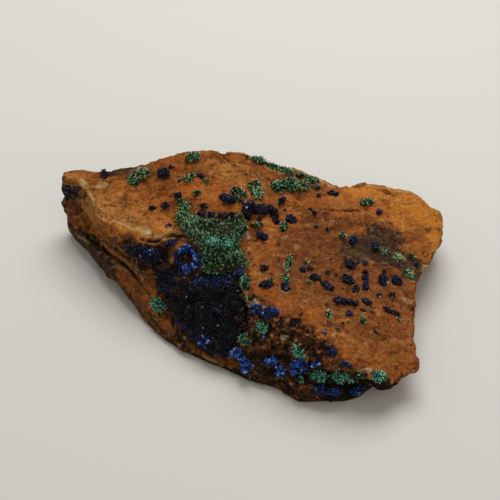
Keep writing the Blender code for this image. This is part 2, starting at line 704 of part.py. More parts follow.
def corners(obj):
    points = [obj.matrix_world @ vertex.co for vertex in obj.data.vertices]
    return [min(p[i] for p in points) for i in range(3)], [max(p[i] for p in points) for i in range(3)]


def stand_on_origin(objects):
    """Moves the whole specimen so that its box stands centred on the origin."""
    boxes = [corners(obj) for obj in objects]
    low = [min(box[0][i] for box in boxes) for i in range(3)]
    high = [max(box[1][i] for box in boxes) for i in range(3)]
    shift = Matrix.Translation((-(low[0] + high[0]) / 2, -(low[1] + high[1]) / 2, -low[2]))
    for obj in objects:
        obj.data.transform(shift)


def make_materials():
    materials = {}
    for name, (colour, roughness, metallic) in FINISHES.items():
        material = bpy.data.materials.new(name)
        material.use_nodes = True
        shader = material.node_tree.nodes["Principled BSDF"]
        shader.inputs["Base Color"].default_value = (*colour, 1)
        shader.inputs["Roughness"].default_value = roughness
        shader.inputs["Metallic"].default_value = metallic
        material.diffuse_color = (*colour, 1)
        materials[name] = material
    return materials


def main():
    for obj in list(bpy.data.objects):
        bpy.data.objects.remove(obj)
    specimen = Specimen()
    for seed, (name, mat) in enumerate(MATS.items()):
        specimen.coat(name, mat, seed)
    specimen.grow("azurite_ring", azurite_ring(specimen.tree))
    for number, (name, *strokes) in enumerate(AZURITE_CLUSTERS):
        specimen.grow("azurite_" + name, azurite_cluster(specimen.tree, number, strokes))
    for number, (name, *strokes) in enumerate(MALACHITE_TUFTS):
        specimen.grow("malachite_" + name, malachite_tuft(specimen.tree, number, strokes))
    stand_on_origin(specimen.parts.objects)
    materials = make_materials()
    for obj in specimen.parts.objects:
        obj.data.materials.clear()
        obj.data.materials.append(materials[obj.name.split("_")[0]])
        obj.data.shade_flat()
    for obj in list(specimen.cutters.objects):
        bpy.data.objects.remove(obj)


main()
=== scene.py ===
"""Azurite specimen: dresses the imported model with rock, needles, blades and plates.

Run it as a script in Blender 4.5.  Metres, +Z up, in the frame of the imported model, which stays where it is.
"across" and "up" are millimetres on the display plane, which faces a viewer who looks down at the specimen's
best side; a line of sight through a point of that plane meets the rock where a stain or a small crystal goes.
"""

import math

import bmesh
import bpy
import numpy as np
from bpy.props import FloatProperty, FloatVectorProperty, PointerProperty
from mathutils import Matrix, Vector, noise
from mathutils.bvhtree import BVHTree


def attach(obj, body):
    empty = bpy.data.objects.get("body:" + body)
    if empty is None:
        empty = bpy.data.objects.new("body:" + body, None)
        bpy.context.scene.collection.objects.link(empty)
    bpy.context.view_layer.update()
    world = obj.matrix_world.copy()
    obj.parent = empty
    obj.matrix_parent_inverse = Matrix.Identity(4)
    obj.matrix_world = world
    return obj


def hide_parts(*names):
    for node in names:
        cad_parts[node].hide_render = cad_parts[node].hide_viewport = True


bl_info = {
    "name": "Azurite specimen",
    "version": (1, 0, 0),
    "blender": (4, 5, 0),
    "location": "3D View > Sidebar > Azurite specimen",
    "description": "Azurite and malachite crystals on a slab of rusty limonite",
    "category": "Object",
}

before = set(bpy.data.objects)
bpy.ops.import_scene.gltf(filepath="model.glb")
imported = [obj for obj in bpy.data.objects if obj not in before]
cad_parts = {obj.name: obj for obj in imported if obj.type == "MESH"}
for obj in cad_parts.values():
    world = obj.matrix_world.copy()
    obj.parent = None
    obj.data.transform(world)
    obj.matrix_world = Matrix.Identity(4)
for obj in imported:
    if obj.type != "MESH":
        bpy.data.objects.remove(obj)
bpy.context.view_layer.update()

MM = 0.001
VIEW_TILT = math.radians(50)  # how steeply the display viewpoint looks down
VIEW_DISTANCE = 0.400
VIEW_AIM = Vector((-0.247, 9.784, 14.0)) * MM
VIEW_BACK = Vector((0, -math.cos(VIEW_TILT), math.sin(VIEW_TILT)))
VIEW_UP = Vector((0, math.sin(VIEW_TILT), math.cos(VIEW_TILT)))
VIEW_EYE = VIEW_AIM + VIEW_BACK * VIEW_DISTANCE

# The rock's mesh
MERGE = 1e-3 * MM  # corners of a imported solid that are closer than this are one
ROCK_SMOOTHING = 3  # rounds
OCTAVE_FALL, OCTAVE_STEP = 0.9, 2.1  # how much each octave of fractal noise fades, and how much finer it is
TILT_SEED = 4  # noise_vector differs on every run until it has a seed

# The crystal groups; sizes, and heights over the rock, are in mm
MATS = ("malachite_mound", "azurite_crust", "azurite_lip_patch")
MAT_SMOOTHING, GROUP_SMOOTHING = 8, 2  # rounds
CORE_GRAIN = 0.45  # of a core that is meshed anew: a mat's, or one with gaps
NEEDLE_ROOM, PLATE_ROOM = 0.35, 0.40  # how far a core draws in to leave room for its crystals
FOOT_TOP, FOOT_DEPTH = 0.75, 0.35  # the part of a core that goes down into the rock, and how deep
FRINGE_TOP, FRINGE_REACH = 0.9, 0.9  # the part of a mat that frays out, and about how far
FRINGE_TWICE = 0.6  # the share of it that does so twice
OPEN_HEIGHT = 0.02  # crystals stand where a core is at least this high ...
OPEN_FACING = -0.35  # ... and doesn't turn further than this, as a cosine, against the rock
TRIES, REACH = 3.2, 0.72  # spots tried in each spacing square, and how close two may be, in spacings
# How crystals stand: the core's share of the group's tone, which colours the gaps between the crystals dark
# as painted shade, how far they lean out of their clump and stray at random, how much of their length is
# sunk, and how much brighter their tip is than their foot, painted shade at the foot and painted highlight at
# the tip
NEEDLE_HABIT = (0.22, 1.7, 0.24, 0.30, 0.45)
TABLET_HABIT = (0.50, 0.8, 0.38, 0.45, 0.06)
TUFT_NEEDLES = 1.25  # how much longer a tuft's needles are than a mat's
# painted reflection: the facets that flash get a pale tone
FLASHING = 0.006  # the share of azurite facets that flash
SMALLEST_KNOB = 0.12  # half of the least size of a knot that small crystals stand on
RUST_BETWEEN = 0.48  # how much of the settled rust's full strength is painted

# What starts each piece's random numbers; tufts, crusts and groups count up from theirs
MOUND_SEED = 11
TUFT_SEED = 100
CRUST_SEED = 200
GROUP_SEED = 300
SMALL_AZURITE_SEED = 400
SMALL_MALACHITE_SEED = 401

# The stage
FLOOR_HALF = 1.5  # half of the floor's width
SENSOR_WIDTH = 36  # mm
NEAREST_SEEN = 0.01  # metres from the camera
# Lights: name, place in metres, width, share of the key light's power, colour
LIGHTS = (
    ("key_light", (0.05, 0.31, 0.57), 0.50, 1.0, "#FFFEFC"),
    ("fill_light", (0.25, -0.35, 0.50), 0.45, 0.10, "#FFEBCB"),
)

# Stains on the rock: across, up, length, width, angle in degrees from "across", strength.
STAINS = {
    "tan": (
        (-42, 12, 30, 15, -28, 1), (-55, 22, 10, 6, 10, 0.7), (-28, 8, 18, 7, -18, 0.6),
        (-6, 25, 22, 8, -14, 0.6), (-51, 8.6, 10, 7, -50, 0.6), (36, -28, 26, 12, -20, 0.35),
        (44, -34, 16, 10, -10, 0.35), (5, 9.2, 3.6, 2.6, 30, 1), (-3, -13.6, 3.4, 4.4, -20, 1),
        (30, 15.5, 16, 6, -5, 0.5), (-4, 15, 12, 6, 0, 0.4), (33, -16, 12, 6, 0, 0.35),
    ),
    "fresh": (
        (-36, 15, 30, 13, -28, 0.5), (-51.5, 7.5, 10, 10, -50, 0.8), (-43, 6, 12, 5, -35, 0.7),
        (-16, 18.5, 20, 9, -12, 0.8), (-27, 14, 12, 7, -20, 0.6), (-2, 18, 12, 6, -10, 0.7),
        (5, 8.5, 10, 5, -20, 0.6), (12, -1, 13, 9, -40, 0.7), (24, -1, 9, 5, 10, 0.4),
        (36, -11, 16, 4, 0, 0.3), (22, -18, 12, 8, 0, 0.4), (-29.5, -10.7, 3.4, 6.4, -12, 0.8),
    ),
    "ochre": (
        (52, 11, 24, 15, -42, 1), (39, 18.4, 24, 6.5, -6, 1), (56.5, 4, 13, 9, -75, 1),
        (-37, 6.8, 14, 4, -20, 0.8), (-28.5, 5.6, 7, 4.6, -20, 0.8),
    ),
    "deep": (
        (26, -8, 44, 24, -10, 0.75), (52, 5, 16, 6, -60, 0.6), (24, 9, 22, 6, -4, 0.8),
        (2, 4, 8, 6, 0, 0.6), (20, 2, 26, 12, -8, 0.9), (40, -26, 22, 14, -20, 0.6),
        (-37.5, 3.6, 6, 3.6, -30, 1), (-27, 0, 5.4, 3, 0, 0.9), (-28, -4, 4.2, 2.4, -10, 0.9),
        (-21, -8.8, 6.4, 2.8, -8, 0.9), (-23.5, -13, 3.2, 2.6, 0, 0.9), (16.4, -45.6, 9, 4, -8, 1),
        (-40, -16, 20, 10, -52, 0.9), (-46, -3.5, 20, 8, -54, 0.7), (-29, -27, 18, 7, -45, 0.9),
        (16.5, 3, 18, 9, -6, 0.8), (48, -8, 10, 8, -40, 0.5),
    ),
    "umber": (
        (35.5, 0.5, 16, 10.5, 8, 1), (43, -1, 13, 9, -30, 1), (42, 4.2, 14, 7, -22, 1),
        (50.5, -5.5, 9, 9, -50, 0.9), (-40, 24.8, 15, 3.4, 3, 0.9), (-10, 28.8, 7, 3, -20, 0.4),
        (-26.4, -1.8, 4.4, 9, 5, 0.85), (10, -37, 32, 10, -18, 1), (15, -28, 22, 10, -22, 0.6),
        (-49, -1.5, 26, 9, -54, 0.95), (-33, -21.5, 22, 4.5, -48, 0.6), (-42.5, -11, 12, 6, -45, 0.6),
        # the patch at (-13, -37.5) colours the lower front wall dark as painted shadow
        (-13, -37.5, 34, 7, -22, 1), (14, -46, 16, 8, -10, 0.8),
    ),
    "worn": (
        (-52.5, 21, 3.6, 2.6, -40, 0.9), (-46, 20.6, 4.5, 2.4, 12, 0.7), (-33, 6, 6.4, 3, -16, 0.7),
        (-39, 8.4, 5, 2.6, -30, 0.5), (8, 24.9, 8, 1.6, -18, 0.65), (24.5, 20.8, 7, 2, -22, 0.6),
        (-2, -14.2, 3.2, 6.4, -30, 0.7), (1.6, -16.8, 6.5, 2.2, -28, 0.65), (4, -17.6, 5, 1.4, -40, 0.5),
        (-4, -7.8, 5, 1.2, 30, 0.4), (-34, -8.6, 3, 1.2, -60, 0.6), (55, -5.6, 2.4, 3.6, 10, 0.5),
        (49, -15.6, 6, 2, -12, 0.5),
    ),
    "chalk": (
        (-1.6, 5, 4.4, 3.2, -35, 0.7), (-0.5, -21.9, 3, 2, 0, 0.5), (10.4, -27.2, 2.8, 2, 20, 0.7),
        (37, -37.5, 2.8, 2, 0, 0.6), (-31.6, 5.4, 2.4, 1.6, 0, 0.9), (-28, 3.8, 5, 1.4, -15, 0.5),
        (3.2, 14.6, 1.6, 1.2, 0, 0.6), (-3.4, -15.6, 2.2, 2.8, -30, 0.8),
        (-0.4, -17.4, 3.4, 1.2, -20, 0.8),
    ),
    # dark staining, and painted shadow along the front foot and the lower front edge
    "soot": (
        (-57, 18, 8, 5, -20, 1), (-60, 14, 4, 8, 60, 0.9), (-53, 17, 5, 2.4, 20, 0.7),
        (-49.5, 4.2, 4.5, 2.6, -20, 0.7), (-31.5, -1.6, 14, 8, -10, 1), (-26, -9.6, 9, 12, -10, 0.9),
        (-21.5, -16.5, 9, 5, -10, 0.85), (-13, -21, 24, 26, 0, 0.9), (-24, 3.4, 5, 2.6, 0, 0.8),
        (-20, -4, 9, 10, 0, 0.85), (29, -45, 18, 6, 8, 0.95), (36, -42, 14, 5, -35, 1),
        (20, -28.5, 18, 3, -18, 0.5), (10, -36, 24, 4, -15, 0.6), (57, -7, 3, 3, 0, 0.6),
        (2, -24, 8, 10, 0, 0.35), (6, -35.5, 26, 8, -18, 0.62), (20, -39, 24, 7, -14, 0.7),
        (-4, -31, 8, 10, 0, 0.6), (-2, -40.5, 24, 6, -20, 0.8), (33, -47, 24, 7, 4, 1),
        (-10, -8.8, 22, 5, -4, 0.95), (40, -41.5, 12, 3.5, 18, 0.9), (42.8, -42.8, 8, 3.4, 15, 1),
        (-25, -19, 8, 7, -40, 0.6), (0, -39.6, 20, 5, -14, 0.75), (4, -41.5, 10, 4, -16, 0.7),
        (15, -46, 18, 8, -10, 0.5), (31, -42, 24, 8, 2, 1), (-12, -36.6, 14, 4, -32, 0.8),
    ),
    "rough": (
        (12, -29, 34, 17, -22, 1), (19, -40, 36, 12, -14, 1), (3, -20, 15, 11, -30, 0.95),
        (-24, -31, 28, 9, -42, 0.7), (19, -46, 26, 8, 0, 1), (-24, -8, 14, 12, -40, 0.5),
    ),
}

# Lines on the rock, cut in as grooves and coloured black as painted shadow, the second one the shadow
# under the lip's overhang: a width in mm, how strongly it shows, and its points (across, up) in order.
CRACKS = (
    (0.75, 1, ((-51.5, 5.2), (-50, 3), (-46.5, 1), (-42.5, -2), (-38.5, -5.4), (-35.5, -8.6))),
    (0.8, 1, ((-34.1, 3.4), (-29.4, 2.5), (-26.6, 3.7), (-24.1, 4.7), (-19.6, 5))),
    (0.45, 0.8, ((-35.5, -8.2), (-32.6, -12.5), (-30, -17), (-28, -21))),
    (0.45, 0.6, ((-53, 14.5), (-52.3, 10), (-50.5, 6.4))),
    (0.4, 0.8, ((22, 12.6), (27, 12.9), (33.5, 12.8))),
    (0.35, 0.6, ((-8, 29.5), (-5.5, 27), (-3, 26.2))),
    (0.35, 0.6, ((43.5, -1), (46, -3.6))),
    (0.35, 0.7, ((-23.5, -10.6), (-21, -11.4), (-18.5, -10.8))),
)
# Pale lines along the lips: partly wear, partly painted highlight on their rounded edges
WORN_LIP = (
    (0.55, 0.9, (
        (-51.2, 19.4), (-49.5, 16.2), (-47, 13.2), (-43.5, 10), (-39.5, 7.6), (-35.5, 6.4), (-31, 5.2),
    )),
    (0.4, 0.35, ((-44, 1.2), (-41, -1.4), (-37.5, -4), (-34.5, -7))),
    (0.6, 0.7, ((29.5, 20.4), (37, 20.3), (43, 19.4), (50, 17.6), (56, 14.2))),
)

# Tone of the crystals, 0 dark and 1 bright, where it isn't the group's own: across, up, length, width, angle,
# tone, and how strongly it takes over.
AZURITE_LIGHT = (
    (-17.6, -4.6, 5, 9, 20, 0.9, 0.8), (-20, -7.6, 9, 3.6, -20, 0.85, 0.8),
    (-23, -3, 4, 7, 0, 0.25, 0.8), (-12, -9.8, 14, 4.6, -4, 0.58, 0.8), (-5, -8.5, 8, 3, 20, 0.75, 0.8),
    (-14.7, -28.8, 4.6, 5, 30, 0.98, 0.95), (-24, -22.5, 16, 4.2, -45, 0.5, 0.75),
    (-19.5, -25.5, 8, 4, -40, 0.5, 0.6), (-30.6, -1.6, 6, 4, -20, 0.48, 0.7),
    (-25, -10.5, 5, 9, 0, 0.3, 0.5), (-5.5, -12.5, 5, 3, -10, 0.35, 0.5),
)
MALACHITE_LIGHT = (
    (-20.5, 11, 7, 12, 60, 0.85, 0.95), (-11, 7, 20, 5, 0, 0.46, 0.6), (-9.6, 2.4, 12, 3.2, -6, 1, 0.95),
    (-15.5, 2.8, 6, 3, 0, 0.8, 0.7), (-8, -4, 16, 9, 0, 0.28, 0.85), (-2, 8.3, 6, 2.6, 0, 0.55, 0.5),
    (24.5, -39.5, 2.2, 6, 0, 0.1, 0.9), (33.4, -39.3, 4.5, 4, 0, 0.25, 0.8),
    (21.6, -39, 3.2, 3.2, 0, 1, 0.7), (27.2, -39, 3.2, 3.2, 0, 1, 0.7),
)

# Where crystals are at their cleanest, teal malachite and clear blue azurite; elsewhere they are olive and
# violet: across, up, length, width, angle.
FRESH = (
    (22, -37, 64, 26, -12), (2, -24, 13, 15, 0), (-28.4, -17.5, 9, 9, 0), (-9.6, 2.4, 14, 4.6, -6),
    (-19.4, -3.4, 13, 13, 0), (-10, -8.5, 26, 5, 5), (-14.7, -28.8, 5, 5, 0), (5, -19.5, 13, 6, -15),
    (35, -1, 18, 8, 0), (-30, -1.6, 8, 6, -20),
)

# Where rust has settled between the crystals: across, up, length, width, angle.
RUSTY = (
    (-21.2, -9, 8, 3.4, -8), (-22.8, -12.8, 6, 3.6, -15), (-27.6, -4.6, 6, 4, -10),
    (-38.6, 2.6, 5, 5, 0), (-34.6, -4.4, 9, 4, -30), (-17, 3, 5, 5, -40), (-1.6, 0.5, 4, 8, 0),
    (-2.2, -23, 4, 14, 15), (-9, -35, 8, 4, -40), (-25.5, -18, 4, 8, 20), (-8, 7, 9, 3, 10),
    (-6, -6, 12, 3, 0),
)

# The groups' own tones; the others of a kind share one.
TONES = {
    "azurite_ring": 0.60, "azurite_shore_strip": 0.66, "azurite_crust": 0.02, "azurite_lip_patch": 0.08,
    "azurite_front_west": 0.78, "azurite_front_middle": 0.76, "azurite_front_east": 0.72,
    "azurite_front_bead": 0.55, "azurite_front_low": 0.40, "azurite_front_corner": 0.55,
    "azurite_ledge_row": 0.50, "azurite_slope_bead": 0.42, "azurite_stalk_foot": 0.30,
    "azurite_field_low": 0.40, "azurite_brown_west": 0.36, "azurite_brown_east": 0.36,
    "azurite_shore_crest": 0.30, "azurite_spur_east": 0.16, "azurite_colony": 0.12,
    "malachite_mound": 0.46, "malachite_edge_tufts": 0.78, "malachite_edge_tuft_east": 0.88,
    "malachite_slope_star": 0.95, "malachite_slope_tuft_high": 0.82, "malachite_slope_tuft_low": 0.76,
    "malachite_north_fan": 0.72, "malachite_north_knot": 0.60, "malachite_north_spread": 0.60,
    "malachite_rim_strip": 0.62, "malachite_crust_edge_tuft": 0.77, "malachite_stalk": 0.64,
    "malachite_colony_spur": 0.64, "malachite_east_tuft": 0.70, "malachite_brown_bead": 0.76,
    "malachite_east_rim_tuft": 0.76, "malachite_shore_tuft": 0.64,
}
OTHER_AZURITE_TONE, OTHER_MALACHITE_TONE = 0.20, 0.62

# Where a group parts into knots and the rock shows between them: across, up, length, width, angle.
GAPS = {
    "azurite_field_bar": ((25.2, -14.8, 3.4, 4, 0), (34.8, -16.8, 2.4, 4, 0), (30.4, -16.2, 1.1, 1.4, 0)),
    "azurite_field_chain_head": ((22.4, -9.4, 1.5, 4, -45), (19.6, -7, 1.2, 1.6, -45)),
    "azurite_field_post": ((36.2, -8.9, 4, 1.5, 0), (36.2, -12.2, 2.4, 1.1, 0)),
    "azurite_crest_row": ((-14, 11.4, 1.5, 4, 0), (-10.4, 10.9, 1.5, 4, 0)),
    "azurite_colony": ((5.9, 12.2, 1.6, 6, 25), (0.9, 11.2, 1.4, 5, -20)),
    "azurite_ledge_row": ((3.6, -18.4, 1.5, 4, -20), (6.6, -20.2, 1.2, 2.2, 0)),
    "azurite_front_middle": ((7.4, -37.2, 1.4, 4, 30),),
    "azurite_front_west": ((-3.6, -34.8, 1.4, 6, 60),),
    "malachite_edge_tufts": ((24.2, -39.8, 1.5, 5, 0), (30, -40, 1.2, 5, 10)),
    "malachite_field_chain": ((24.6, -17.2, 4, 1.3, 0), (24.6, -20.2, 4, 1, 0)),
}

# Small crystals that have no solid of their own: across, up, length, width, angle, tone.
SMALL_AZURITE = (
    (-22.5, 17, 3, 2.2, 20, 0.2), (-26.5, 14, 2.8, 2.4, 0, 0.15), (-14.5, 14, 2.8, 1.6, -5, 0.12),
    (-6, 11, 2.6, 1.8, 20, 0.2), (10, 15.5, 3, 2.2, 30, 0.15), (40.5, 12, 2.6, 2, -30, 0.35),
    (36, -4, 2.2, 1.8, 0, 0.4), (18.5, -5.5, 2.2, 2, 70, 0.35), (4.5, -5.5, 2.4, 3.2, 80, 0.2),
    (40.5, -14, 2, 1.9, 40, 0.3), (52, -4.5, 2.2, 1.9, 0, 0.35), (-30.5, 13, 2.8, 2.3, 0, 0.12),
    (-15.5, 23.2, 3, 1.8, -20, 0.2), (8, 9, 3.8, 2.4, -50, 0.2), (19.5, 12, 4.1, 1.3, -55, 0.15),
    (36, -7, 2.5, 2, 0, 0.1), (39, -25.5, 5.4, 1, -50, 0.25), (30, -35.5, 4, 1.8, -25, 0.35),
    (-24.4, 25.9, 3, 1.2, 10, 0.1), (-21.9, 21.6, 2.4, 1.6, 0, 0.25), (10.9, 12.5, 1.4, 0.9, 30, 0.1),
    (21.4, 16.9, 2.1, 1.6, 20, 0.25), (24, 6.6, 1.9, 1.3, 50, 0.25), (28.4, -5.6, 1.3, 1.1, 0, 0.1),
    (24.3, -7.2, 2.3, 1.6, 10, 0.12), (26.9, -8.1, 2, 1.1, 0, 0.1), (41.9, -6.6, 1.5, 1.1, -20, 0.15),
    (28.9, -12, 1.5, 1, 20, 0.12), (35.2, -18.8, 2.3, 1.1, -10, 0.2), (38.6, -19.6, 2.6, 0.8, -60, 0.45),
    (50.8, -18.4, 1.3, 1.5, 0, 0.15), (26.6, -21.9, 1, 0.9, 0, 0.1), (28.8, -22.8, 2, 0.9, 0, 0.12),
    (17.8, -25, 3, 0.7, -40, 0.5), (23.1, -25.9, 2.3, 1.4, -45, 0.5), (-25.6, 7.8, 3.4, 1.5, 15, 0.55),
    (-24.7, 2.2, 4.2, 2.4, 0, 0.3), (4.4, -26.6, 1.9, 1.6, 0, 0.65), (7.8, -30.6, 1.8, 1.5, 0, 0.3),
    (-27, -7, 5, 3, -70, 0.12), (20.9, -17.8, 0.8, 0.8, 0, 0.05), (16, -20, 1.6, 1, 60, 0.25),
    (18, -24, 1.2, 0.7, 0, 0.5), (-18.5, 13.4, 1.3, 0.8, 0, 0.1), (33.3, -4.6, 1.2, 0.9, 0, 0.1),
    (-57, 18.4, 2.2, 1.8, 20, 0.2), (-55.2, 19.3, 2.2, 1.6, 0, 0.3), (-53.4, 19, 2, 1.4, 10, 0.1),
    (-57.2, 16, 1.6, 2.4, 0, 0.15), (-55, 17, 1.8, 1.4, 0, 0.3), (3.6, 12.6, 4.2, 4, 0, 0.15),
    (-0.6, 9.9, 2.6, 1.6, 20, 0.15), (3, 9.6, 2.2, 1.6, 0, 0.15), (6.4, 13.4, 2.6, 1.8, 20, 0.2),
    (8.4, 10.6, 2.4, 1.8, -50, 0.25), (9.2, 8.4, 2, 1.6, -50, 0.2), (10.9, 12.6, 2, 1.2, 30, 0.2),
    (-24.8, 2, 3, 1.8, 10, 0.55), (-31, -1.4, 4.4, 3, 0, 0.5), (-27.6, -8.2, 2.8, 2, -20, 0.3),
    (-24.4, -9.4, 2.4, 2.2, 0, 0.35), (-27.8, -12, 2.6, 2.6, -60, 0.4),
    (-25.4, -14.4, 2.6, 1.8, 0, 0.15), (-11, -10.4, 3, 1.8, 10, 0.75), (-8.4, -11, 2.6, 1.2, 15, 0.85),
)
SMALL_MALACHITE = (
    (-16.5, 18, 3.2, 2.4, 0, 0.42), (29, 4.5, 2.6, 2.3, 0, 0.62), (42, -0.5, 1.8, 2.3, 0, 0.6),
    (44.5, -14, 2.4, 2.1, 0, 0.35), (20.5, 19.5, 4.6, 1.2, 5, 0.4), (50.5, -2, 2.4, 2, 30, 0.7),
    (6, -10, 3, 1.8, 10, 0.35), (25, -12.4, 2.6, 2, 80, 0.4), (46.5, -22, 2.4, 1.5, -60, 0.75),
    (27.5, -25, 2, 1.6, 0, 0.3), (0.5, -15.2, 3.8, 1.6, -10, 0.75), (16, -40.5, 3, 2.8, 80, 0.62),
    (-32.8, -5.6, 2.6, 2.8, 60, 0.2), (20.6, 7.2, 1.8, 1.6, 0, 0.35), (30.5, -22.5, 1.6, 1, 0, 0.4),
    (18.3, -10.2, 2.6, 1.1, 5, 0.5), (17.5, -3.8, 1.6, 1.8, 80, 0.7), (-13.6, 21.6, 2.2, 1.8, 0, 0.6),
    (38.6, -18, 1.8, 1, -40, 0.7), (28.5, -36.5, 2.2, 1.4, 0, 0.5), (34.5, -39, 3, 1.8, 10, 0.4),
    (6.5, -9, 1.8, 1.2, 0, 0.4), (0.6, 7.6, 7, 1.9, 3, 0.5), (3.2, 8, 3, 1.8, 0, 0.45),
    (-3.2, 15.6, 2.6, 2.4, 0, 0.55), (-1.8, 17.6, 3.2, 1.8, 10, 0.5), (2.6, 17, 4.2, 2.4, 0, 0.6),
    (8.4, 12.4, 1.8, 1.4, 0, 0.5), (10.6, 7.6, 2.2, 3.4, 10, 0.55), (-3, 7.9, 3, 1.8, 5, 0.55),
    (-34.2, -5.8, 2.2, 2, 0, 0.3), (-19.6, 4.6, 2, 1.6, 0, 0.3), (-18.8, 22.8, 4.6, 2.2, 10, 0.45),
    (-4.6, 18.4, 4, 3.4, 20, 0.5), (-3.6, 16, 3.4, 2.4, 0, 0.5), (0.6, 20, 4.2, 2.4, -10, 0.5),
    (1.6, 18, 4.4, 3, 0, 0.5),
)


# ---------------------------------------------------------------- colours and shader nodes
# A Mix node's sockets for colours, by number because those for other types have the same names
SHARE, UNDER, OVER, MIXED = 0, 6, 7, 2


def linear(code):
    """A linear colour from an sRGB hex code."""
    channels = [int(code[i:i + 2], 16) / 255 for i in (1, 3, 5)]
    return tuple(c / 12.92 if c <= 0.04045 else ((c + 0.055) / 1.055) ** 2.4 for c in channels)


def per_mm(size):
    """The scale of a texture whose features are this many millimetres across."""
    return 1000 / size


def add_node(tree, kind, settings, inputs):
    """Adds a node.  Settings are its properties, or a ramp's stops; inputs are values, or sockets to link."""
    node = tree.nodes.new(kind)
    for key, value in settings.items():
        if key == "stops":
            ramp = node.color_ramp.elements
            while len(ramp) < len(value):
                ramp.new(0.5)
            for element, (place, code) in zip(ramp, value):
                element.position = place
                element.color = (*linear(code), 1)
        else:
            setattr(node, key, value)
    for key, value in inputs.items():
        if isinstance(value, bpy.types.NodeSocket):
            tree.links.new(value, node.inputs[key])
        else:
            node.inputs[key].default_value = value
    return node


def start_material(name):
    """A material with its tree, its shader and the object's own coordinates."""
    material = bpy.data.materials.new(name)
    material.use_nodes = True
    tree = material.node_tree
    place = add_node(tree, "ShaderNodeTexCoord", {}, {}).outputs["Object"]
    return material, tree, tree.nodes["Principled BSDF"], place


def set_shader(shader, roughness, index, specular):
    """The shader's uniform values: how rough it is, its index of refraction and its specular level."""
    shader.inputs["Roughness"].default_value = roughness
    shader.inputs["IOR"].default_value = index
    shader.inputs["Specular IOR Level"].default_value = specular


def with_fields(tree, place, colour, layers):
    """Lays colours over a colour where the mesh's painted fields say.  A layer is its field, its share, how
    far a fine noise moves its edge, that noise's size in mm, and its colour."""
    for field, share, ragged, size, layer in layers:
        inputs = {"Vector": place, "Scale": per_mm(size), "Detail": 6, "Roughness": 0.7}
        fray = add_node(tree, "ShaderNodeTexNoise", {}, inputs).outputs["Fac"]
        painted = add_node(tree, "ShaderNodeAttribute", {"attribute_name": field}, {}).outputs["Fac"]
        inputs = {0: fray, 1: ragged, 2: painted}
        torn = add_node(tree, "ShaderNodeMath", {"operation": "MULTIPLY_ADD"}, inputs).outputs["Value"]
        middle = 0.5 * ragged
        inputs = {"Value": torn, "From Min": 0.25 + middle, "From Max": 0.85 + middle, "To Max": share}
        mask = add_node(tree, "ShaderNodeMapRange", {}, inputs).outputs["Result"]
        inputs = {SHARE: mask, UNDER: colour, OVER: (*layer, 1)}
        colour = add_node(tree, "ShaderNodeMix", {"data_type": "RGBA"}, inputs).outputs[MIXED]
    return colour


def noise_and_mask(tree, place, size, begins, full, share):
    """Noise with features of a size in mm, and its mask, which rises from where it begins to its share."""
    inputs = {"Vector": place, "Scale": per_mm(size), "Detail": 5, "Roughness": 0.62}
    level = add_node(tree, "ShaderNodeTexNoise", {}, inputs).outputs["Fac"]
    inputs = {"Value": level, "From Min": begins, "From Max": full, "To Max": share}
    return level, add_node(tree, "ShaderNodeMapRange", {}, inputs).outputs["Result"]


def streaked_place(tree, place):
    """Coordinates that bend and are drawn out along the rock's bedding, for grain in short streaks."""
    bend = 14.0  # mm
    drift = add_node(tree, "ShaderNodeTexNoise", {}, {"Vector": place, "Scale": per_mm(bend), "Detail": 2})
    inputs = {0: drift.outputs["Color"], 1: (0.5, 0.5, 0.5)}
    centred = add_node(tree, "ShaderNodeVectorMath", {"operation": "SUBTRACT"}, inputs)
    inputs = {0: centred.outputs["Vector"], 1: (bend * MM, bend * MM, bend * MM), 2: place}
    pushed = add_node(tree, "ShaderNodeVectorMath", {"operation": "MULTIPLY_ADD"}, inputs)
    inputs = {"Vector": pushed.outputs["Vector"], "Rotation": (0, 0, math.radians(18)), "Scale": (0.3, 1, 1)}
    return add_node(tree, "ShaderNodeMapping", {}, inputs).outputs["Vector"]


def rust_drifts(tree, place, look):
    """The rock's main colour under broad drifts of others."""
    colour = (*look.rust, 1)
    # a drift: its size in mm, the noise where it begins and where it is full, its share, its colour
    for size, begins, full, share, layer in (
        (19.0, 0.46, 0.62, 0.45, look.deep_rust),
        (8.0, 0.50, 0.66, 0.55, look.orange),
        (4.1, 0.53, 0.66, 0.40, look.deep_rust),
        (2.6, 0.53, 0.66, 0.35, look.tan),
    ):
        _, mask = noise_and_mask(tree, place, size, begins, full, share)
        inputs = {SHARE: mask, UNDER: colour, OVER: (*layer, 1)}
        colour = add_node(tree, "ShaderNodeMix", {"data_type": "RGBA"}, inputs).outputs[MIXED]
    return colour


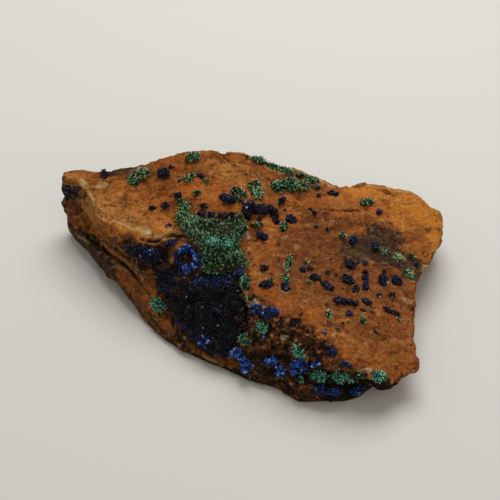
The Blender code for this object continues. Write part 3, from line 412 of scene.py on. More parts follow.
def rust_grain(tree, place, colour, look):
    """Grain over a colour, with its relief; it is strong in some parts and almost gone in others.  The dark
    layers are painted shade in the relief's hollows, and the pale ones are dust, partly painted highlight on
    its crowns.
    """
    inputs = {"Vector": place, "Scale": per_mm(7.0), "Detail": 3, "Roughness": 0.6}
    parts = add_node(tree, "ShaderNodeTexNoise", {}, inputs).outputs["Fac"]
    inputs = {"Value": parts, "From Min": 0.42, "From Max": 0.62, "To Min": 0.45, "To Max": 1.15}
    strong = add_node(tree, "ShaderNodeMapRange", {}, inputs).outputs["Result"]
    streaks = streaked_place(tree, place)
    normal = None
    # a grain: its coordinates, size in mm, the noise where it begins and where it is full, its share, how it
    # blends, its colour, and how high its relief is in mm
    for way, size, begins, full, share, blend, layer, relief in (
        (streaks, 2.6, 0.48, 0.36, 0.70, "MULTIPLY", look.shade, 0.40),
        (streaks, 2.0, 0.53, 0.68, 0.50, "SCREEN", look.dust_and_highlight, 0),
        (streaks, 1.0, 0.44, 0.34, 0.75, "MULTIPLY", look.shade, 0.30),
        (place, 1.1, 0.46, 0.36, 0.55, "MULTIPLY", look.shade, 0.40),
        (place, 1.1, 0.55, 0.68, 0.40, "SCREEN", look.dust_and_highlight, 0),
        (place, 0.6, 0.42, 0.32, 0.80, "MULTIPLY", look.shade, 0.30),
        (place, 0.6, 0.55, 0.68, 0.60, "SCREEN", look.dust_and_highlight, 0),
    ):
        level, mask = noise_and_mask(tree, way, size, begins, full, share)
        local = add_node(tree, "ShaderNodeMath", {"operation": "MULTIPLY"}, {0: mask, 1: strong})
        settings = {"data_type": "RGBA", "blend_type": blend}
        inputs = {SHARE: local.outputs["Value"], UNDER: colour, OVER: (*layer, 1)}
        colour = add_node(tree, "ShaderNodeMix", settings, inputs).outputs[MIXED]
        if relief:
            inputs = {"Height": level, "Strength": 0.8, "Distance": relief * MM}
            if normal:
                inputs["Normal"] = normal
            normal = add_node(tree, "ShaderNodeBump", {}, inputs).outputs["Normal"]
    return colour, normal


def limonite_material(look):
    """Limonite: soft, earthy iron oxide, broken and never polished.  It gives the eye a dry, matt rust brown
    that drifts to orange, tan and umber, with short dark streaks and pores painted as shade in the grain's
    hollows, pale dust on its crowns that is partly painted highlight, and painted shade on its walls, in its
    hollows and cracks and along its front foot.  The finest grain is drawn at 0.6 mm, coarser than the real
    powder, so that it shows."""
    material, tree, shader, place = start_material("limonite_broken_rusty")
    colour = with_fields(tree, place, rust_drifts(tree, place, look), (
        # painted shade on the steep walls
        ("wall", 0.55, 1.2, 1.6, look.wall),
        ("tan", 0.65, 2.2, 2.2, look.tan),
        ("fresh", 0.65, 2.2, 2.2, look.orange),
        ("ochre", 0.90, 1.6, 2.2, look.bright_ochre),
        ("deep", 0.75, 2.0, 2.2, look.deep_rust),
        ("umber", 0.95, 1.0, 1.6, look.umber),
    ))
    colour, normal = rust_grain(tree, place, colour, look)
    colour = with_fields(tree, place, colour, (
        ("rough", 0.75, 1.2, 1.6, look.wall),
        ("crumb_rust", 0.75, 1.0, 0.9, look.rust),
        ("crumb_gold", 0.60, 1.0, 0.9, look.worn),
        ("crumb_black", 0.90, 1.0, 0.9, look.soot),
        ("worn", 0.85, 2.4, 0.7, look.worn),
        ("chalk", 0.80, 2.6, 0.7, look.chalk),
        # dark staining, and painted shadow in the cracks, under the lip and along the front foot
        ("soot", 0.95, 1.6, 0.9, look.soot),
        # painted shade in the relief's hollows
        ("hollow", 0.60, 0.6, 0.7, look.soot),
        # pale standing edges: partly wear, partly painted highlight
        ("edge", 0.35, 1.6, 0.7, look.worn),
    ))
    tree.links.new(colour, shader.inputs["Base Color"])
    tree.links.new(normal, shader.inputs["Normal"])
    set_shader(shader, 0.88, 1.45, 0.15)
    return material


def crystal_material(name, aged, fresh, grain, roughness, index, specular):
    """Colours from each crystal's own tone, 0 dark and 1 bright, which also carries painted shade, highlights
    and glints, with mottling and a low relief whose grain is in mm: one ramp for aged crystals and one for
    fresh ones, and settled rust between them."""
    material, tree, shader, place = start_material(name)
    tone = add_node(tree, "ShaderNodeAttribute", {"attribute_name": "tone"}, {}).outputs["Fac"]
    inputs = {"Vector": place, "Scale": per_mm(grain), "Detail": 3, "Roughness": 0.6}
    mottle = add_node(tree, "ShaderNodeTexNoise", {}, inputs).outputs["Fac"]
    inputs = {"Value": mottle, "From Min": 0.3, "From Max": 0.7, "To Min": -0.09, "To Max": 0.09}
    shift = add_node(tree, "ShaderNodeMapRange", {}, inputs).outputs["Result"]
    settings = {"operation": "ADD", "use_clamp": True}
    total = add_node(tree, "ShaderNodeMath", settings, {0: tone, 1: shift}).outputs["Value"]
    inputs = {SHARE: add_node(tree, "ShaderNodeAttribute", {"attribute_name": "fresh"}, {}).outputs["Fac"]}
    for socket, stops in ((UNDER, aged), (OVER, fresh)):
        ramp = add_node(tree, "ShaderNodeValToRGB", {"stops": stops}, {"Fac": total})
        inputs[socket] = ramp.outputs["Color"]
    colour = add_node(tree, "ShaderNodeMix", {"data_type": "RGBA"}, inputs).outputs[MIXED]
    colour = with_fields(tree, place, colour, (("rusty", 0.9, 2.8, 1.2, linear("#5E3618")),))
    inputs = {"Height": mottle, "Strength": 0.35, "Distance": grain * 0.2 * MM}
    bump = add_node(tree, "ShaderNodeBump", {}, inputs)
    tree.links.new(colour, shader.inputs["Base Color"])
    tree.links.new(bump.outputs["Normal"], shader.inputs["Normal"])
    set_shader(shader, roughness, index, specular)
    return material


def azurite_material():
    """Azurite: glassy tabular crystals, so deep a blue that thick ones look black and facets flash; the
    flashes are painted reflections, pale at the top of the ramps.
    """
    aged = (
        (0.0, "#030307"), (0.10, "#0C0C1C"), (0.22, "#181938"), (0.4, "#252750"), (0.6, "#343A72"),
        (0.82, "#4C5AA2"), (1.0, "#B0B8D8"),
    )
    fresh = (
        (0.0, "#02040A"), (0.2, "#0A1026"), (0.4, "#152A62"), (0.6, "#1C469E"), (0.82, "#3272D2"),
        (1.0, "#A4C8F0"),
    )
    name = "azurite_glassy"
    return bpy.data.materials.get(name) or crystal_material(name, aged, fresh, 0.8, 0.22, 1.60, 0.20)


def malachite_material():
    """Malachite: sprays of fine needles, silky, dark between them and mint green at their tips; the dark
    between them is painted shade and the pale tips painted highlight.
    """
    aged = (
        (0.0, "#030804"), (0.22, "#10200D"), (0.44, "#30552B"), (0.60, "#548048"), (0.75, "#69A067"),
        (0.88, "#92C68C"), (1.0, "#DCF0CC"),
    )
    fresh = (
        (0.0, "#030807"), (0.22, "#0B1F17"), (0.44, "#1E5238"), (0.60, "#32845A"), (0.75, "#3DA076"),
        (0.88, "#68CCA2"), (1.0, "#CCF4E2"),
    )
    name = "malachite_fibrous"
    return bpy.data.materials.get(name) or crystal_material(name, aged, fresh, 0.5, 0.5, 1.65, 0.16)


def board_material(look):
    """Painted board: smooth and matt, so that it gives the eye an even, faintly warm ground."""
    material, _, shader, _ = start_material("painted_board_matt")
    shader.inputs["Base Color"].default_value = (*look.floor, 1)
    set_shader(shader, 0.8, 1.5, 0.2)
    return material


# ---------------------------------------------------------------- lines of sight
def sight(across, up):
    """The direction from the eye through a point of the display plane."""
    on_plane = VIEW_AIM + Vector((1, 0, 0)) * across * MM + VIEW_UP * up * MM
    return (on_plane - VIEW_EYE).normalized()


def displayed(points):
    """Where points show on the display plane, as across and up in mm."""
    rays = points - np.array(VIEW_EYE)
    scale = VIEW_DISTANCE / (rays @ -np.array(VIEW_BACK))
    return rays[:, 0] * scale / MM, (rays @ np.array(VIEW_UP)) * scale / MM


def within(across, up, patch):
    """How deep each point is in an elliptical patch: 1 in the middle, 0 on the rim, negative outside."""
    a, u, length, width, angle = patch[:5]
    turn = math.radians(angle)
    along = (across - a) * math.cos(turn) + (up - u) * math.sin(turn)
    aside = (up - u) * math.cos(turn) - (across - a) * math.sin(turn)
    return 1 - np.hypot(along / (length / 2), aside / (width / 2))


def smooth_step(low, high, value):
    """0 at low, 1 at high and an even S between them; low may be the greater of the two."""
    share = np.clip((value - low) / (high - low), 0, 1)
    return share * share * (3 - 2 * share)


def unit(rows):
    """Vectors, one in each row, made 1 long."""
    return rows / np.maximum(np.linalg.norm(rows, axis=1, keepdims=True), 1e-12)


# ---------------------------------------------------------------- meshes
def read_mesh(mesh):
    """The vertices, triangles and vertex normals of a mesh as arrays."""
    verts = np.empty(len(mesh.vertices) * 3, np.float32)
    mesh.vertices.foreach_get("co", verts)
    normals = np.empty(len(mesh.vertices) * 3, np.float32)
    mesh.vertex_normals.foreach_get("vector", normals)
    mesh.calc_loop_triangles()
    faces = np.empty(len(mesh.loop_triangles) * 3, np.int32)
    mesh.loop_triangles.foreach_get("vertices", faces)
    return verts.reshape(-1, 3).astype(float), faces.reshape(-1, 3), normals.reshape(-1, 3).astype(float)


def write_mesh(name, verts, faces, fields):
    """A mesh of triangles with a number for each vertex in each named field."""
    mesh = bpy.data.meshes.new(name)
    mesh.vertices.add(len(verts))
    mesh.vertices.foreach_set("co", np.asarray(verts, np.float32).ravel())
    mesh.loops.add(len(faces) * 3)
    mesh.loops.foreach_set("vertex_index", np.asarray(faces, np.int32).ravel())
    mesh.polygons.add(len(faces))
    mesh.polygons.foreach_set("loop_start", np.arange(0, len(faces) * 3, 3, dtype=np.int32))
    mesh.update(calc_edges=True)
    mesh.validate()
    for field, values in fields.items():
        mesh.attributes.new(field, "FLOAT", "POINT").data.foreach_set("value", np.asarray(values, np.float32))
    return mesh


def add_piece(name, mesh, material, nodes=()):
    """An object on the root body that stands for the given nodes."""
    mesh.materials.append(material)
    piece = bpy.data.objects.new(name, mesh)
    bpy.context.scene.collection.objects.link(piece)
    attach(piece, "root")
    if nodes:
        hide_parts(*nodes)
    return piece


def refined(node, voxel, smoothing):
    """The vertices, triangles and normals of a CAD node's shape; with a voxel size, they are those of a fine,
    even mesh with its facets softened."""
    bm = bmesh.new()
    bm.from_mesh(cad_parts[node].data)
    bmesh.ops.remove_doubles(bm, verts=bm.verts, dist=MERGE)
    merged = bpy.data.meshes.new("merged")
    bm.to_mesh(merged)
    bm.free()
    carrier = bpy.data.objects.new("carrier", merged)
    bpy.context.scene.collection.objects.link(carrier)
    if voxel:
        remesh = carrier.modifiers.new("remesh", "REMESH")
        remesh.mode = "VOXEL"
        remesh.voxel_size = voxel
        smooth = carrier.modifiers.new("smooth", "SMOOTH")
        smooth.factor = 0.5
        smooth.iterations = smoothing
    fine = bpy.data.meshes.new_from_object(carrier.evaluated_get(bpy.context.evaluated_depsgraph_get()))
    arrays = read_mesh(fine)
    bpy.data.objects.remove(carrier)
    bpy.data.meshes.remove(merged)
    bpy.data.meshes.remove(fine)
    return arrays


def cloud(points, size, octaves=3, stretch=(1, 1, 1)):
    """Fractal noise of about -1 to 1 at each point, with features of a size in mm."""
    scaled = points / MM / size * np.array(stretch)
    return np.array([noise.fractal(Vector(p), OCTAVE_FALL, OCTAVE_STEP, octaves) for p in scaled])


def facets(points, size):
    """Flat chips of a size in mm: each cell of the rock is planed off at its own tilt."""
    noise.seed_set(TILT_SEED)
    heights = []
    for p in points / MM / size:
        point = Vector(p)
        centre = noise.voronoi(point)[1][0]
        tilt = noise.noise_vector(centre * 7.3)  # moves neighbouring centres far apart in the noise
        heights.append((point - centre).dot(tilt) * 2)
    return np.array(heights)


def cobbles(points, size):
    """Rounded grains of a size in mm, from 0 between them to 1 on their crowns, with a number from 0 to 1 and
    the centre of each point's grain."""
    crowns, marks, middles = [], [], []
    for p in points / MM / size:
        distances, centres = noise.voronoi(Vector(p))
        crowns.append(1 - min(1.0, 1.6 * distances[0]))
        marks.append(0.5 + 0.5 * noise.noise(centres[0] * 5.7))
        middles.append(centres[0])
    return np.array(crowns), np.array(marks), np.array(middles).reshape(-1, 3) * size * MM


# ---------------------------------------------------------------- the rock
def painted_patches(points, normals):
    """A field from 0 to 1 for each kind of stain, with ragged edges, on what the display view sees."""
    across, up = displayed(points)
    seen = smooth_step(-0.1, 0.2, normals @ np.array(VIEW_BACK))
    ragged = 0.30 * cloud(points, 3.2, 4)
    fields = {}
    for name, patches in STAINS.items():
        field = np.zeros(len(points))
        for patch in patches:
            inside = smooth_step(-0.12, 0.30, within(across, up, patch) + ragged)
            field = np.maximum(field, patch[5] * inside)
        fields[name] = field * seen
    return fields


def drawn(points, lines):
    """How strongly each point is on one of the lines, from 0 to 1; a line wavers, fades and comes back."""
    across, up = displayed(points)
    across += 0.45 * cloud(points, 4.0, 3)
    up += 0.45 * cloud(points + 0.05, 4.0, 3)
    strength = np.clip(0.75 + 0.6 * cloud(points, 3.0, 2), 0, 1)
    shown = np.zeros(len(points))
    for width, share, line in lines:
        near = np.full(len(points), np.inf)
        for (a0, u0), (a1, u1) in zip(line, line[1:]):
            step = np.array((a1 - a0, u1 - u0))
            place = np.clip(((across - a0) * step[0] + (up - u0) * step[1]) / (step @ step), 0, 1)
            near = np.minimum(near, np.hypot(across - a0 - place * step[0], up - u0 - place * step[1]))
        shown = np.maximum(shown, share * strength * (1 - smooth_step(0.15 * width, width, near)))
    return shown


def flakes(points, size, step, levels):
    """Layers that have flaked off: steps with crisp edges, in mm."""
    height = (0.5 + 0.5 * cloud(points, size, 4)) * levels
    whole = np.floor(height)
    return step * (whole + smooth_step(0.70, 1.0, height - whole))


def evened(values, faces, rounds):
    """A field on the vertices, averaged with its neighbours a number of times."""
    ends = np.concatenate([faces[:, (0, 1)], faces[:, (1, 2)], faces[:, (2, 0)]])
    first, second = ends[:, 0], ends[:, 1]
    count = len(values)
    weights = np.maximum(np.bincount(ends.ravel(), minlength=count), 1)
    for _ in range(rounds):
        sums = np.bincount(first, values[second], count) + np.bincount(second, values[first], count)
        values = 0.5 * values + 0.5 * sums / weights
    return values


def weathered(points, faces, normals, fields):
    """Moves the rock's surface in and out, in mm: ledges and chips on the walls, flakes and ripples on the
    top, crumbs where it is rough, pits where it isn't, and the cracks.  Adds fields for the crumbs' colours,
    for painted shade in the hollows and for the edges that stand out, painted pale as partly wear and partly
    painted highlight."""
    wall, rough = fields["wall"], fields["rough"]
    crowns, marks, _ = cobbles(points, 1.9)
    small_crowns, small_marks, _ = cobbles(points, 0.95)
    move = 0.22 * cloud(points, 5.0, 4) + 0.16 * cloud(points, 1.5, 3)
    ledges = cloud(points, 5.0, 3, (1, 1, 3.0))
    move += wall * (0.45 * facets(points, 5.5) + 0.25 * facets(points, 2.6) + 0.35 * ledges)
    ripples = cloud(points, 4.0, 4, (0.5, 1.8, 1.8))
    move += (1 - wall) * (flakes(points, 15.0, 0.30, 7) - 1.0 + 0.14 * facets(points, 4.2) + 0.18 * ripples)
    move += rough * (0.70 * (crowns - 0.35) + 0.50 * (small_crowns - 0.4) + 0.3 * (marks - 0.5))
    pits = smooth_step(0.72, 0.78, small_marks) * smooth_step(0.3, 0.6, small_crowns) * (1 - rough)
    move -= 0.35 * pits
    move -= 1.1 * fields["crack"]
    move += 0.15 * fields["lip"]
    grit = 0.35 * marks + 0.65 * small_marks
    fields["crumb_black"] = rough * smooth_step(0.50, 0.44, grit)
    fields["crumb_rust"] = rough * smooth_step(0.55, 0.60, grit)
    fields["crumb_gold"] = rough * smooth_step(0.64, 0.68, grit)
    proud = move - evened(move, faces, 16)
    # painted shade: where the relief sinks below its surroundings it is coloured dark
    fields["hollow"] = smooth_step(0.05, -0.40, proud)
    # partly wear, partly painted highlight: what stands out of the relief is coloured pale
    fields["edge"] = smooth_step(0.05, 0.35, proud) * (1 - rough)
    standing = smooth_step(0.15 * MM, 1.5 * MM, points[:, 2])  # the underside stays flat on the floor
    return points + normals * (move * standing)[:, None] * MM


def limonite_rock(look):
    """The rock's mesh, with its fields painted and its surface weathered."""
    points, faces, normals = refined("limonite_matrix", look.rock_voxel, ROCK_SMOOTHING)
    fields = painted_patches(points, normals)
    seen = smooth_step(0.0, 0.3, normals @ np.array(VIEW_BACK))
    fields["crack"] = seen * drawn(points, CRACKS)
    fields["lip"] = seen * drawn(points, WORN_LIP)
    # painted shadow: the cracks, and the line under the lip's overhang, are coloured black as their shadow
    fields["soot"] = np.maximum(fields["soot"], 0.8 * fields["crack"])
    # the pale lip lines, partly wear and partly painted highlight, join the worn patches
    fields["worn"] = np.maximum(fields["worn"], fields["lip"])
    # painted shade: the steep walls, turned away from the light, are coloured a darker brown; the same mask
    # shapes their ledges
    fields["wall"] = 1 - smooth_step(0.45, 0.85, normals[:, 2] + 0.12 * cloud(points, 6.0, 2))
    points = weathered(points, faces, normals, fields)
    return write_mesh("limonite_rock", points, faces, fields)


class Ground:
    """The finished rock, to stand crystals on."""

    tree = None

    @classmethod
    def survey(cls):
        """The rock's triangles in a search tree, built the first time it is asked for."""
        if cls.tree is None:
            points, faces, _ = read_mesh(bpy.data.objects["limonite_rock"].data)
            cls.tree = BVHTree.FromPolygons(points.tolist(), faces.tolist())
        return cls.tree

    @classmethod
    def below(cls, points):
        """For each point, the nearest place on the rock, its normal and the height over it."""
        rows = [cls.survey().find_nearest(Vector(p)) for p in points]
        places = np.array([row[0] for row in rows]).reshape(-1, 3)
        normals = np.array([row[1] for row in rows]).reshape(-1, 3)
        return places, normals, ((points - places) * normals).sum(1)

    @classmethod
    def seen_at(cls, across, up):
        """The place and normal of the rock where a line of sight meets it, or None twice past its edge."""
        return cls.survey().ray_cast(VIEW_EYE, sight(across, up))[:2]


# ---------------------------------------------------------------- crystal shapes
def template(bm):
    """The vertices and triangles of a small shape, and how far along it each vertex is."""
    bmesh.ops.triangulate(bm, faces=bm.faces)
    bmesh.ops.recalc_face_normals(bm, faces=bm.faces)
    verts = np.array([v.co for v in bm.verts])
    bm.verts.index_update()
    faces = np.array([[v.index for v in f.verts] for f in bm.faces])
    bm.free()
    low, high = verts[:, 2].min(), verts[:, 2].max()
    return verts, faces, (verts[:, 2] - low) / (high - low)


def prism(sides, foot, tip):
    """A prism that stands on the origin, 1 long, with the radius of its foot and of its tip."""
    bm = bmesh.new()
    bmesh.ops.create_cone(bm, cap_ends=True, segments=sides, radius1=foot, radius2=tip, depth=1.0)
    bmesh.ops.translate(bm, vec=(0, 0, 0.5), verts=bm.verts)
    return bm


def flatten(bm, depth, edge, slant):
    """Makes a prism thinner by a share and its end thinner again by another, and slants the end."""
    for vertex in bm.verts:
        vertex.co.y *= depth
        if vertex.co.z > 0.5:
            vertex.co.y *= edge
            vertex.co.z += slant * vertex.co.x


def needle():
    """A malachite needle, 1 long and 1 wide, that tapers to a third."""
    return template(prism(4, 0.5, 0.16))


def blade():
    """A tabular azurite crystal, 1 long and 1 wide: six-sided, flattened, with a bevelled, slanting end."""
    bm = prism(6, 0.5, 0.42)
    flatten(bm, 0.62, 1.0, 0.42)
    crown = [edge for edge in bm.edges if all(vertex.co.z > 0.5 for vertex in edge.verts)]
    bmesh.ops.bevel(bm, geom=crown, offset=0.13, segments=1, profile=0.5, affect="EDGES", material=-1)
    return template(bm)


def plate():
    """A thin plate of the azurite druse, 1 long and 1 wide, with a chisel edge."""
    bm = prism(4, 0.55, 0.5)
    bmesh.ops.rotate(bm, cent=(0, 0, 0), matrix=Matrix.Rotation(math.pi / 4, 3, "Z"), verts=bm.verts)
    flatten(bm, 0.42, 0.3, 0.35)
    return template(bm)


def knob():
    """A rough knot that small crystals stand on, 2 across."""
    bm = bmesh.new()
    bmesh.ops.create_icosphere(bm, subdivisions=1, radius=1.0)
    return template(bm)


NEEDLE, BLADE, PLATE, KNOB = needle(), blade(), plate(), knob()


# ---------------------------------------------------------------- crystal groups
def scattered(verts, faces, spacing, rng):
    """Spots about evenly spaced over a surface, with the normal at each."""
    a, b, c = (verts[faces[:, i]] for i in range(3))
    cross = np.cross(b - a, c - a)
    area = np.linalg.norm(cross, axis=1) / 2
    tries = int(TRIES * area.sum() / spacing**2) + 4
    chosen = rng.choice(len(faces), tries, p=area / area.sum())
    s, t = np.sqrt(rng.random(tries))[:, None], rng.random(tries)[:, None]
    spots = a[chosen] * (1 - s) + b[chosen] * s * (1 - t) + c[chosen] * s * t
    kept, cells = [], {}
    reach = REACH * spacing
    for i, cell in enumerate(map(tuple, np.floor(spots / reach).astype(int))):
        near = [
            j for dx in (-1, 0, 1) for dy in (-1, 0, 1) for dz in (-1, 0, 1)
            for j in cells.get((cell[0] + dx, cell[1] + dy, cell[2] + dz), ())
        ]
        if all(((spots[i] - spots[j]) ** 2).sum() > reach**2 for j in near):
            cells.setdefault(cell, []).append(i)
            kept.append(i)
    return spots[kept], unit(cross[chosen])[kept]


def seated(verts, normals, room, gaps):
    """A core for a crystal group: its foot goes down into the rock, as the core does in the group's gaps, and
    the rest draws in to leave room."""
    places, ground_normals, height = Ground.below(verts)
    foot = height < FOOT_TOP * MM
    for gap in gaps:
        foot |= within(*displayed(verts), gap) > 0
    moved = verts - normals * (room * MM)
    moved[foot] = places[foot] - ground_normals[foot] * FOOT_DEPTH * MM
    return moved


def lit_by(zones, points, tones):
    """Tones drawn towards the tones of the zones that the points are in."""
    across, up = displayed(points)
    for zone in zones:
        share = zone[6] * smooth_step(-0.1, 0.5, within(across, up, zone))
        tones = tones * (1 - share) + zone[5] * share
    return tones


class Cluster:
    """The crystals of one piece: needles on malachite, plates on a mat of azurite and blades on the rest."""

    def __init__(self, name, look, seed, mat=False):
        self.name, self.look, self.mat = name, look, mat
        self.malachite = name.startswith("malachite")
        self.rng = np.random.default_rng(seed)
        self.verts, self.faces, self.tones, self.count = [], [], [], 0
        self.clump_size = look.spray_size if self.malachite and not mat else look.clump_size
        self.shape, self.spacing = BLADE, look.blade_spacing
        self.habit, self.zones = TABLET_HABIT, AZURITE_LIGHT
        if mat:
            self.shape, self.spacing = PLATE, look.plate_spacing
        if self.malachite:
            self.shape, self.spacing = NEEDLE, look.needle_spacing
            self.habit, self.zones = NEEDLE_HABIT, MALACHITE_LIGHT

    def add(self, verts, faces, tones):
        """Adds triangles, with a tone for each vertex."""
        self.verts.append(verts)
        self.faces.append(faces + self.count)
        self.tones.append(tones)
        self.count += len(verts)

    def grow(self, places, ways, spins, sizes, tones, tip):
        """Stands a crystal at each place along its way, turned by its spin, with its width, depth and length;
        its tone rises by tip from its foot to its end, painted shade at the foot and painted highlight at the
        tip."""
        verts, faces, along = self.shape
        helper = np.where(np.abs(ways[:, 2:]) < 0.9, ((0, 0, 1),), ((1, 0, 0),))
        side = unit(np.cross(helper, ways))
        front = np.cross(ways, side)
        cos, sin = np.cos(spins)[:, None], np.sin(spins)[:, None]
        axes = np.stack([side * cos + front * sin, front * cos - side * sin, ways], 1)
        grown = np.einsum("nvk,nkj->nvj", verts[None] * sizes[:, None], axes) + places[:, None]
        offsets = (np.arange(len(places)) * len(verts))[:, None, None]
        lit = np.clip(tones[:, None] + tip * (along[None] - 0.5), 0, 1)
        self.add(grown.reshape(-1, 3), (faces[None] + offsets).reshape(-1, 3), lit.ravel())

    def open_spots(self, core, faces):
        """Spots where a core shows above the rock, with the core's normals and the rock's."""
        spots, normals = scattered(core, faces, self.spacing, self.rng)
        _, ground_normals, height = Ground.below(spots)
        out = (height > OPEN_HEIGHT * MM) & ((normals * ground_normals).sum(1) > OPEN_FACING)
        spots, normals, ground_normals = spots[out], normals[out], ground_normals[out]
        if not self.mat:
            return spots, normals, ground_normals
        # stragglers on the rock round a mat's rim, so that it frays out
        rim = np.flatnonzero(height[out] < FRINGE_TOP * MM)
        rim = np.concatenate([rim, rim[self.rng.random(len(rim)) < FRINGE_TWICE]])
        strayed = spots[rim] + self.rng.normal(size=(len(rim), 3)) * FRINGE_REACH * MM
        places, there, _ = Ground.below(strayed)
        spots, normals = np.concatenate([spots, places]), np.concatenate([normals, there])
        return spots, normals, np.concatenate([ground_normals, there])

    def needles(self, tones, clumps, marks, spread, glint):
        """Sizes and tones of needles: long and bright on the crowns of clumps and dark between them, painted
        highlight and shade, and brighter where one glints, a painted glint.
        """
        count = len(tones)
        length = self.look.needle_length * self.rng.uniform(0.6, 1.3, count) * (0.7 + 0.5 * clumps)
        length *= 1.0 if self.mat else TUFT_NEEDLES
        width = self.look.needle_width * self.rng.uniform(0.7, 1.3, count)
        # painted glints: some needles are made much brighter, the more so in bright groups
        bright = glint < 0.45 * tones
        tones = tones * (0.25 + 0.75 * clumps + 0.5 * (marks - 0.5)) + 0.14 * spread + 0.70 * bright
        return np.stack([width, width, length], 1), np.clip(tones, 0, 1)

    def tablets(self, tones, clumps, spread, glint):
        """Sizes and tones of blades or plates: bright on the crowns of clumps and dark between them, painted
        highlight and shade, brighter where one glints and brightest where a facet flashes, painted glints and
        reflections."""
        count = len(tones)
        typical = self.look.plate_size if self.mat else self.look.blade_size
        width = typical * self.rng.uniform(0.7, 1.4, count)
        length = width * self.rng.uniform(0.9, 1.3, count)
        # painted glints: some blades are made brighter
        bright = glint < 0.5 * tones - 0.02
        tones = tones * (0.3 + 0.7 * clumps + 0.28 * spread) + 0.25 * bright + 0.06 * np.abs(spread)
        # painted reflection: a few facets get a pale flash tone
        tones = np.where(self.rng.random(count) < FLASHING, 0.95, np.clip(tones, 0, 0.88))
        depth = width * self.rng.uniform(0.6, 1.1, count)
        return np.stack([width, depth, length], 1), tones

    def dress(self, core, faces, tone):
        """Covers a core that sits in the rock with crystals that lean out of clumps, wherever it shows."""
        core_shade_share, lean_out, stray, sunk, tip = self.habit
        # painted shade: the core shows only in the gaps between the crystals, and takes a darker share of the
        # tone
        self.add(core, faces, np.full(len(core), core_shade_share * tone))
        spots, normals, ground_normals = self.open_spots(core, faces)
        count = len(spots)
        tones = lit_by(self.zones, spots, np.full(count, tone))
        clumps, marks, middles = cobbles(spots, self.clump_size / MM)
        spread = self.rng.normal(size=count)
        spins = self.rng.uniform(0, 2 * math.pi, count)
        glint = self.rng.random(count)
        lean = spots - middles
        lean = (lean - normals * (lean * normals).sum(1, keepdims=True)) / self.clump_size
        stand = 0.7 * normals + 0.3 * ground_normals
        ways = unit(stand + lean_out * lean + stray * self.rng.normal(size=normals.shape))
        if self.malachite:
            sizes, tones = self.needles(tones, clumps, marks, spread, glint)
        else:
            sizes, tones = self.tablets(tones, clumps, spread, glint)
        self.grow(spots - ways * sunk * sizes[:, 2:], ways, spins, sizes, tones, tip)

    def piece(self, name, nodes=()):
        """Makes the piece, with fields for where its crystals are fresh and where rust has settled."""
        verts = np.concatenate(self.verts)
        across, up = displayed(verts)
        fields = {"tone": np.concatenate(self.tones)}
        for field, zones, share in (("fresh", FRESH, 1.0), ("rusty", RUSTY, RUST_BETWEEN)):
            depth = np.max([within(across, up, zone) for zone in zones], axis=0)
            fields[field] = share * smooth_step(-0.1, 0.3, depth)
        mesh = write_mesh(self.name, verts, np.concatenate(self.faces), fields)
        if self.malachite:
            add_piece(name, mesh, malachite_material(), nodes)
        else:
            add_piece(name, mesh, azurite_material(), nodes)


def grow_group(node, look, seed):
    """One group: a core seated in the rock, covered with crystals."""
    cluster = Cluster(node, look, seed, mat=node in MATS)
    gaps = GAPS.get(node, ())
    voxel = CORE_GRAIN * MM if cluster.mat or gaps else 0
    verts, faces, normals = refined(node, voxel, MAT_SMOOTHING if cluster.mat else GROUP_SMOOTHING)
    core = seated(verts, normals, NEEDLE_ROOM if cluster.malachite else PLATE_ROOM, gaps)
    if cluster.mat:
        lumps = 0.35 * cloud(verts, 2.4, 3) * smooth_step(0.5, 1.0, Ground.below(verts)[2] / MM)
        core += normals * lumps[:, None] * MM
    tone = TONES.get(node, OTHER_MALACHITE_TONE if cluster.malachite else OTHER_AZURITE_TONE)
    cluster.dress(core, faces, tone)
    cluster.piece(node + "_crystals", [node])


def grow_small(name, marks, look, seed):
    """Small crystal knots straight on the rock, one at each mark."""
    cluster = Cluster(name, look, seed)
    verts, faces, _ = KNOB
    for across, up, length, width, angle, tone in marks:
        place, normal = Ground.seen_at(across, up)
        if place is None:
            raise ValueError(f"the small crystal at ({across}, {up}) misses the rock")
        turn = math.radians(angle)
        ahead = Vector((math.cos(turn), 0, 0)) + VIEW_UP * math.sin(turn)
        side = normal.cross(ahead).normalized()
        axes = np.array([side.cross(normal), side, normal])
        # the crystals add the rest of the knot's length, width and height
        half = np.array((0.5 * length - 0.35, 0.5 * width - 0.3, 0.3 * width)).clip(SMALLEST_KNOB) * MM
        cluster.dress(verts * half @ axes + np.array(place), faces, tone)
    cluster.piece(name)


def groups_of(kind):
    """The names of the CAD nodes of a kind of crystal that aren't mats, in order."""
    return [name for name in sorted(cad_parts) if name.startswith(kind) and name not in MATS]


# ---------------------------------------------------------------- the stage
def add_floor(scene, look):
    """A wide floor under the specimen."""
    bm = bmesh.new()
    bmesh.ops.create_grid(bm, x_segments=1, y_segments=1, size=FLOOR_HALF)
    mesh = bpy.data.meshes.new("floor")
    bm.to_mesh(mesh)
    bm.free()
    mesh.materials.append(board_material(look))
    floor = bpy.data.objects.new("floor", mesh)
    scene.collection.objects.link(floor)


def add_lights(scene, look):
    """An even light from all round, and soft lights that point at the specimen."""
    scene.world = bpy.data.worlds.new("soft_room")
    scene.world.use_nodes = True
    background = scene.world.node_tree.nodes["Background"]
    background.inputs["Color"].default_value = (*linear("#F6F5F3"), 1)
    background.inputs["Strength"].default_value = look.sky
    for name, place, size, share, colour in LIGHTS:
        lamp = bpy.data.lights.new(name, "AREA")
        lamp.shape = "DISK"
        lamp.size = size
        lamp.energy = share * look.key
        lamp.color = linear(colour)
        light = bpy.data.objects.new(name, lamp)
        light.location = place
        light.rotation_euler = (VIEW_AIM - Vector(place)).to_track_quat("-Z", "Y").to_euler()
        scene.collection.objects.link(light)


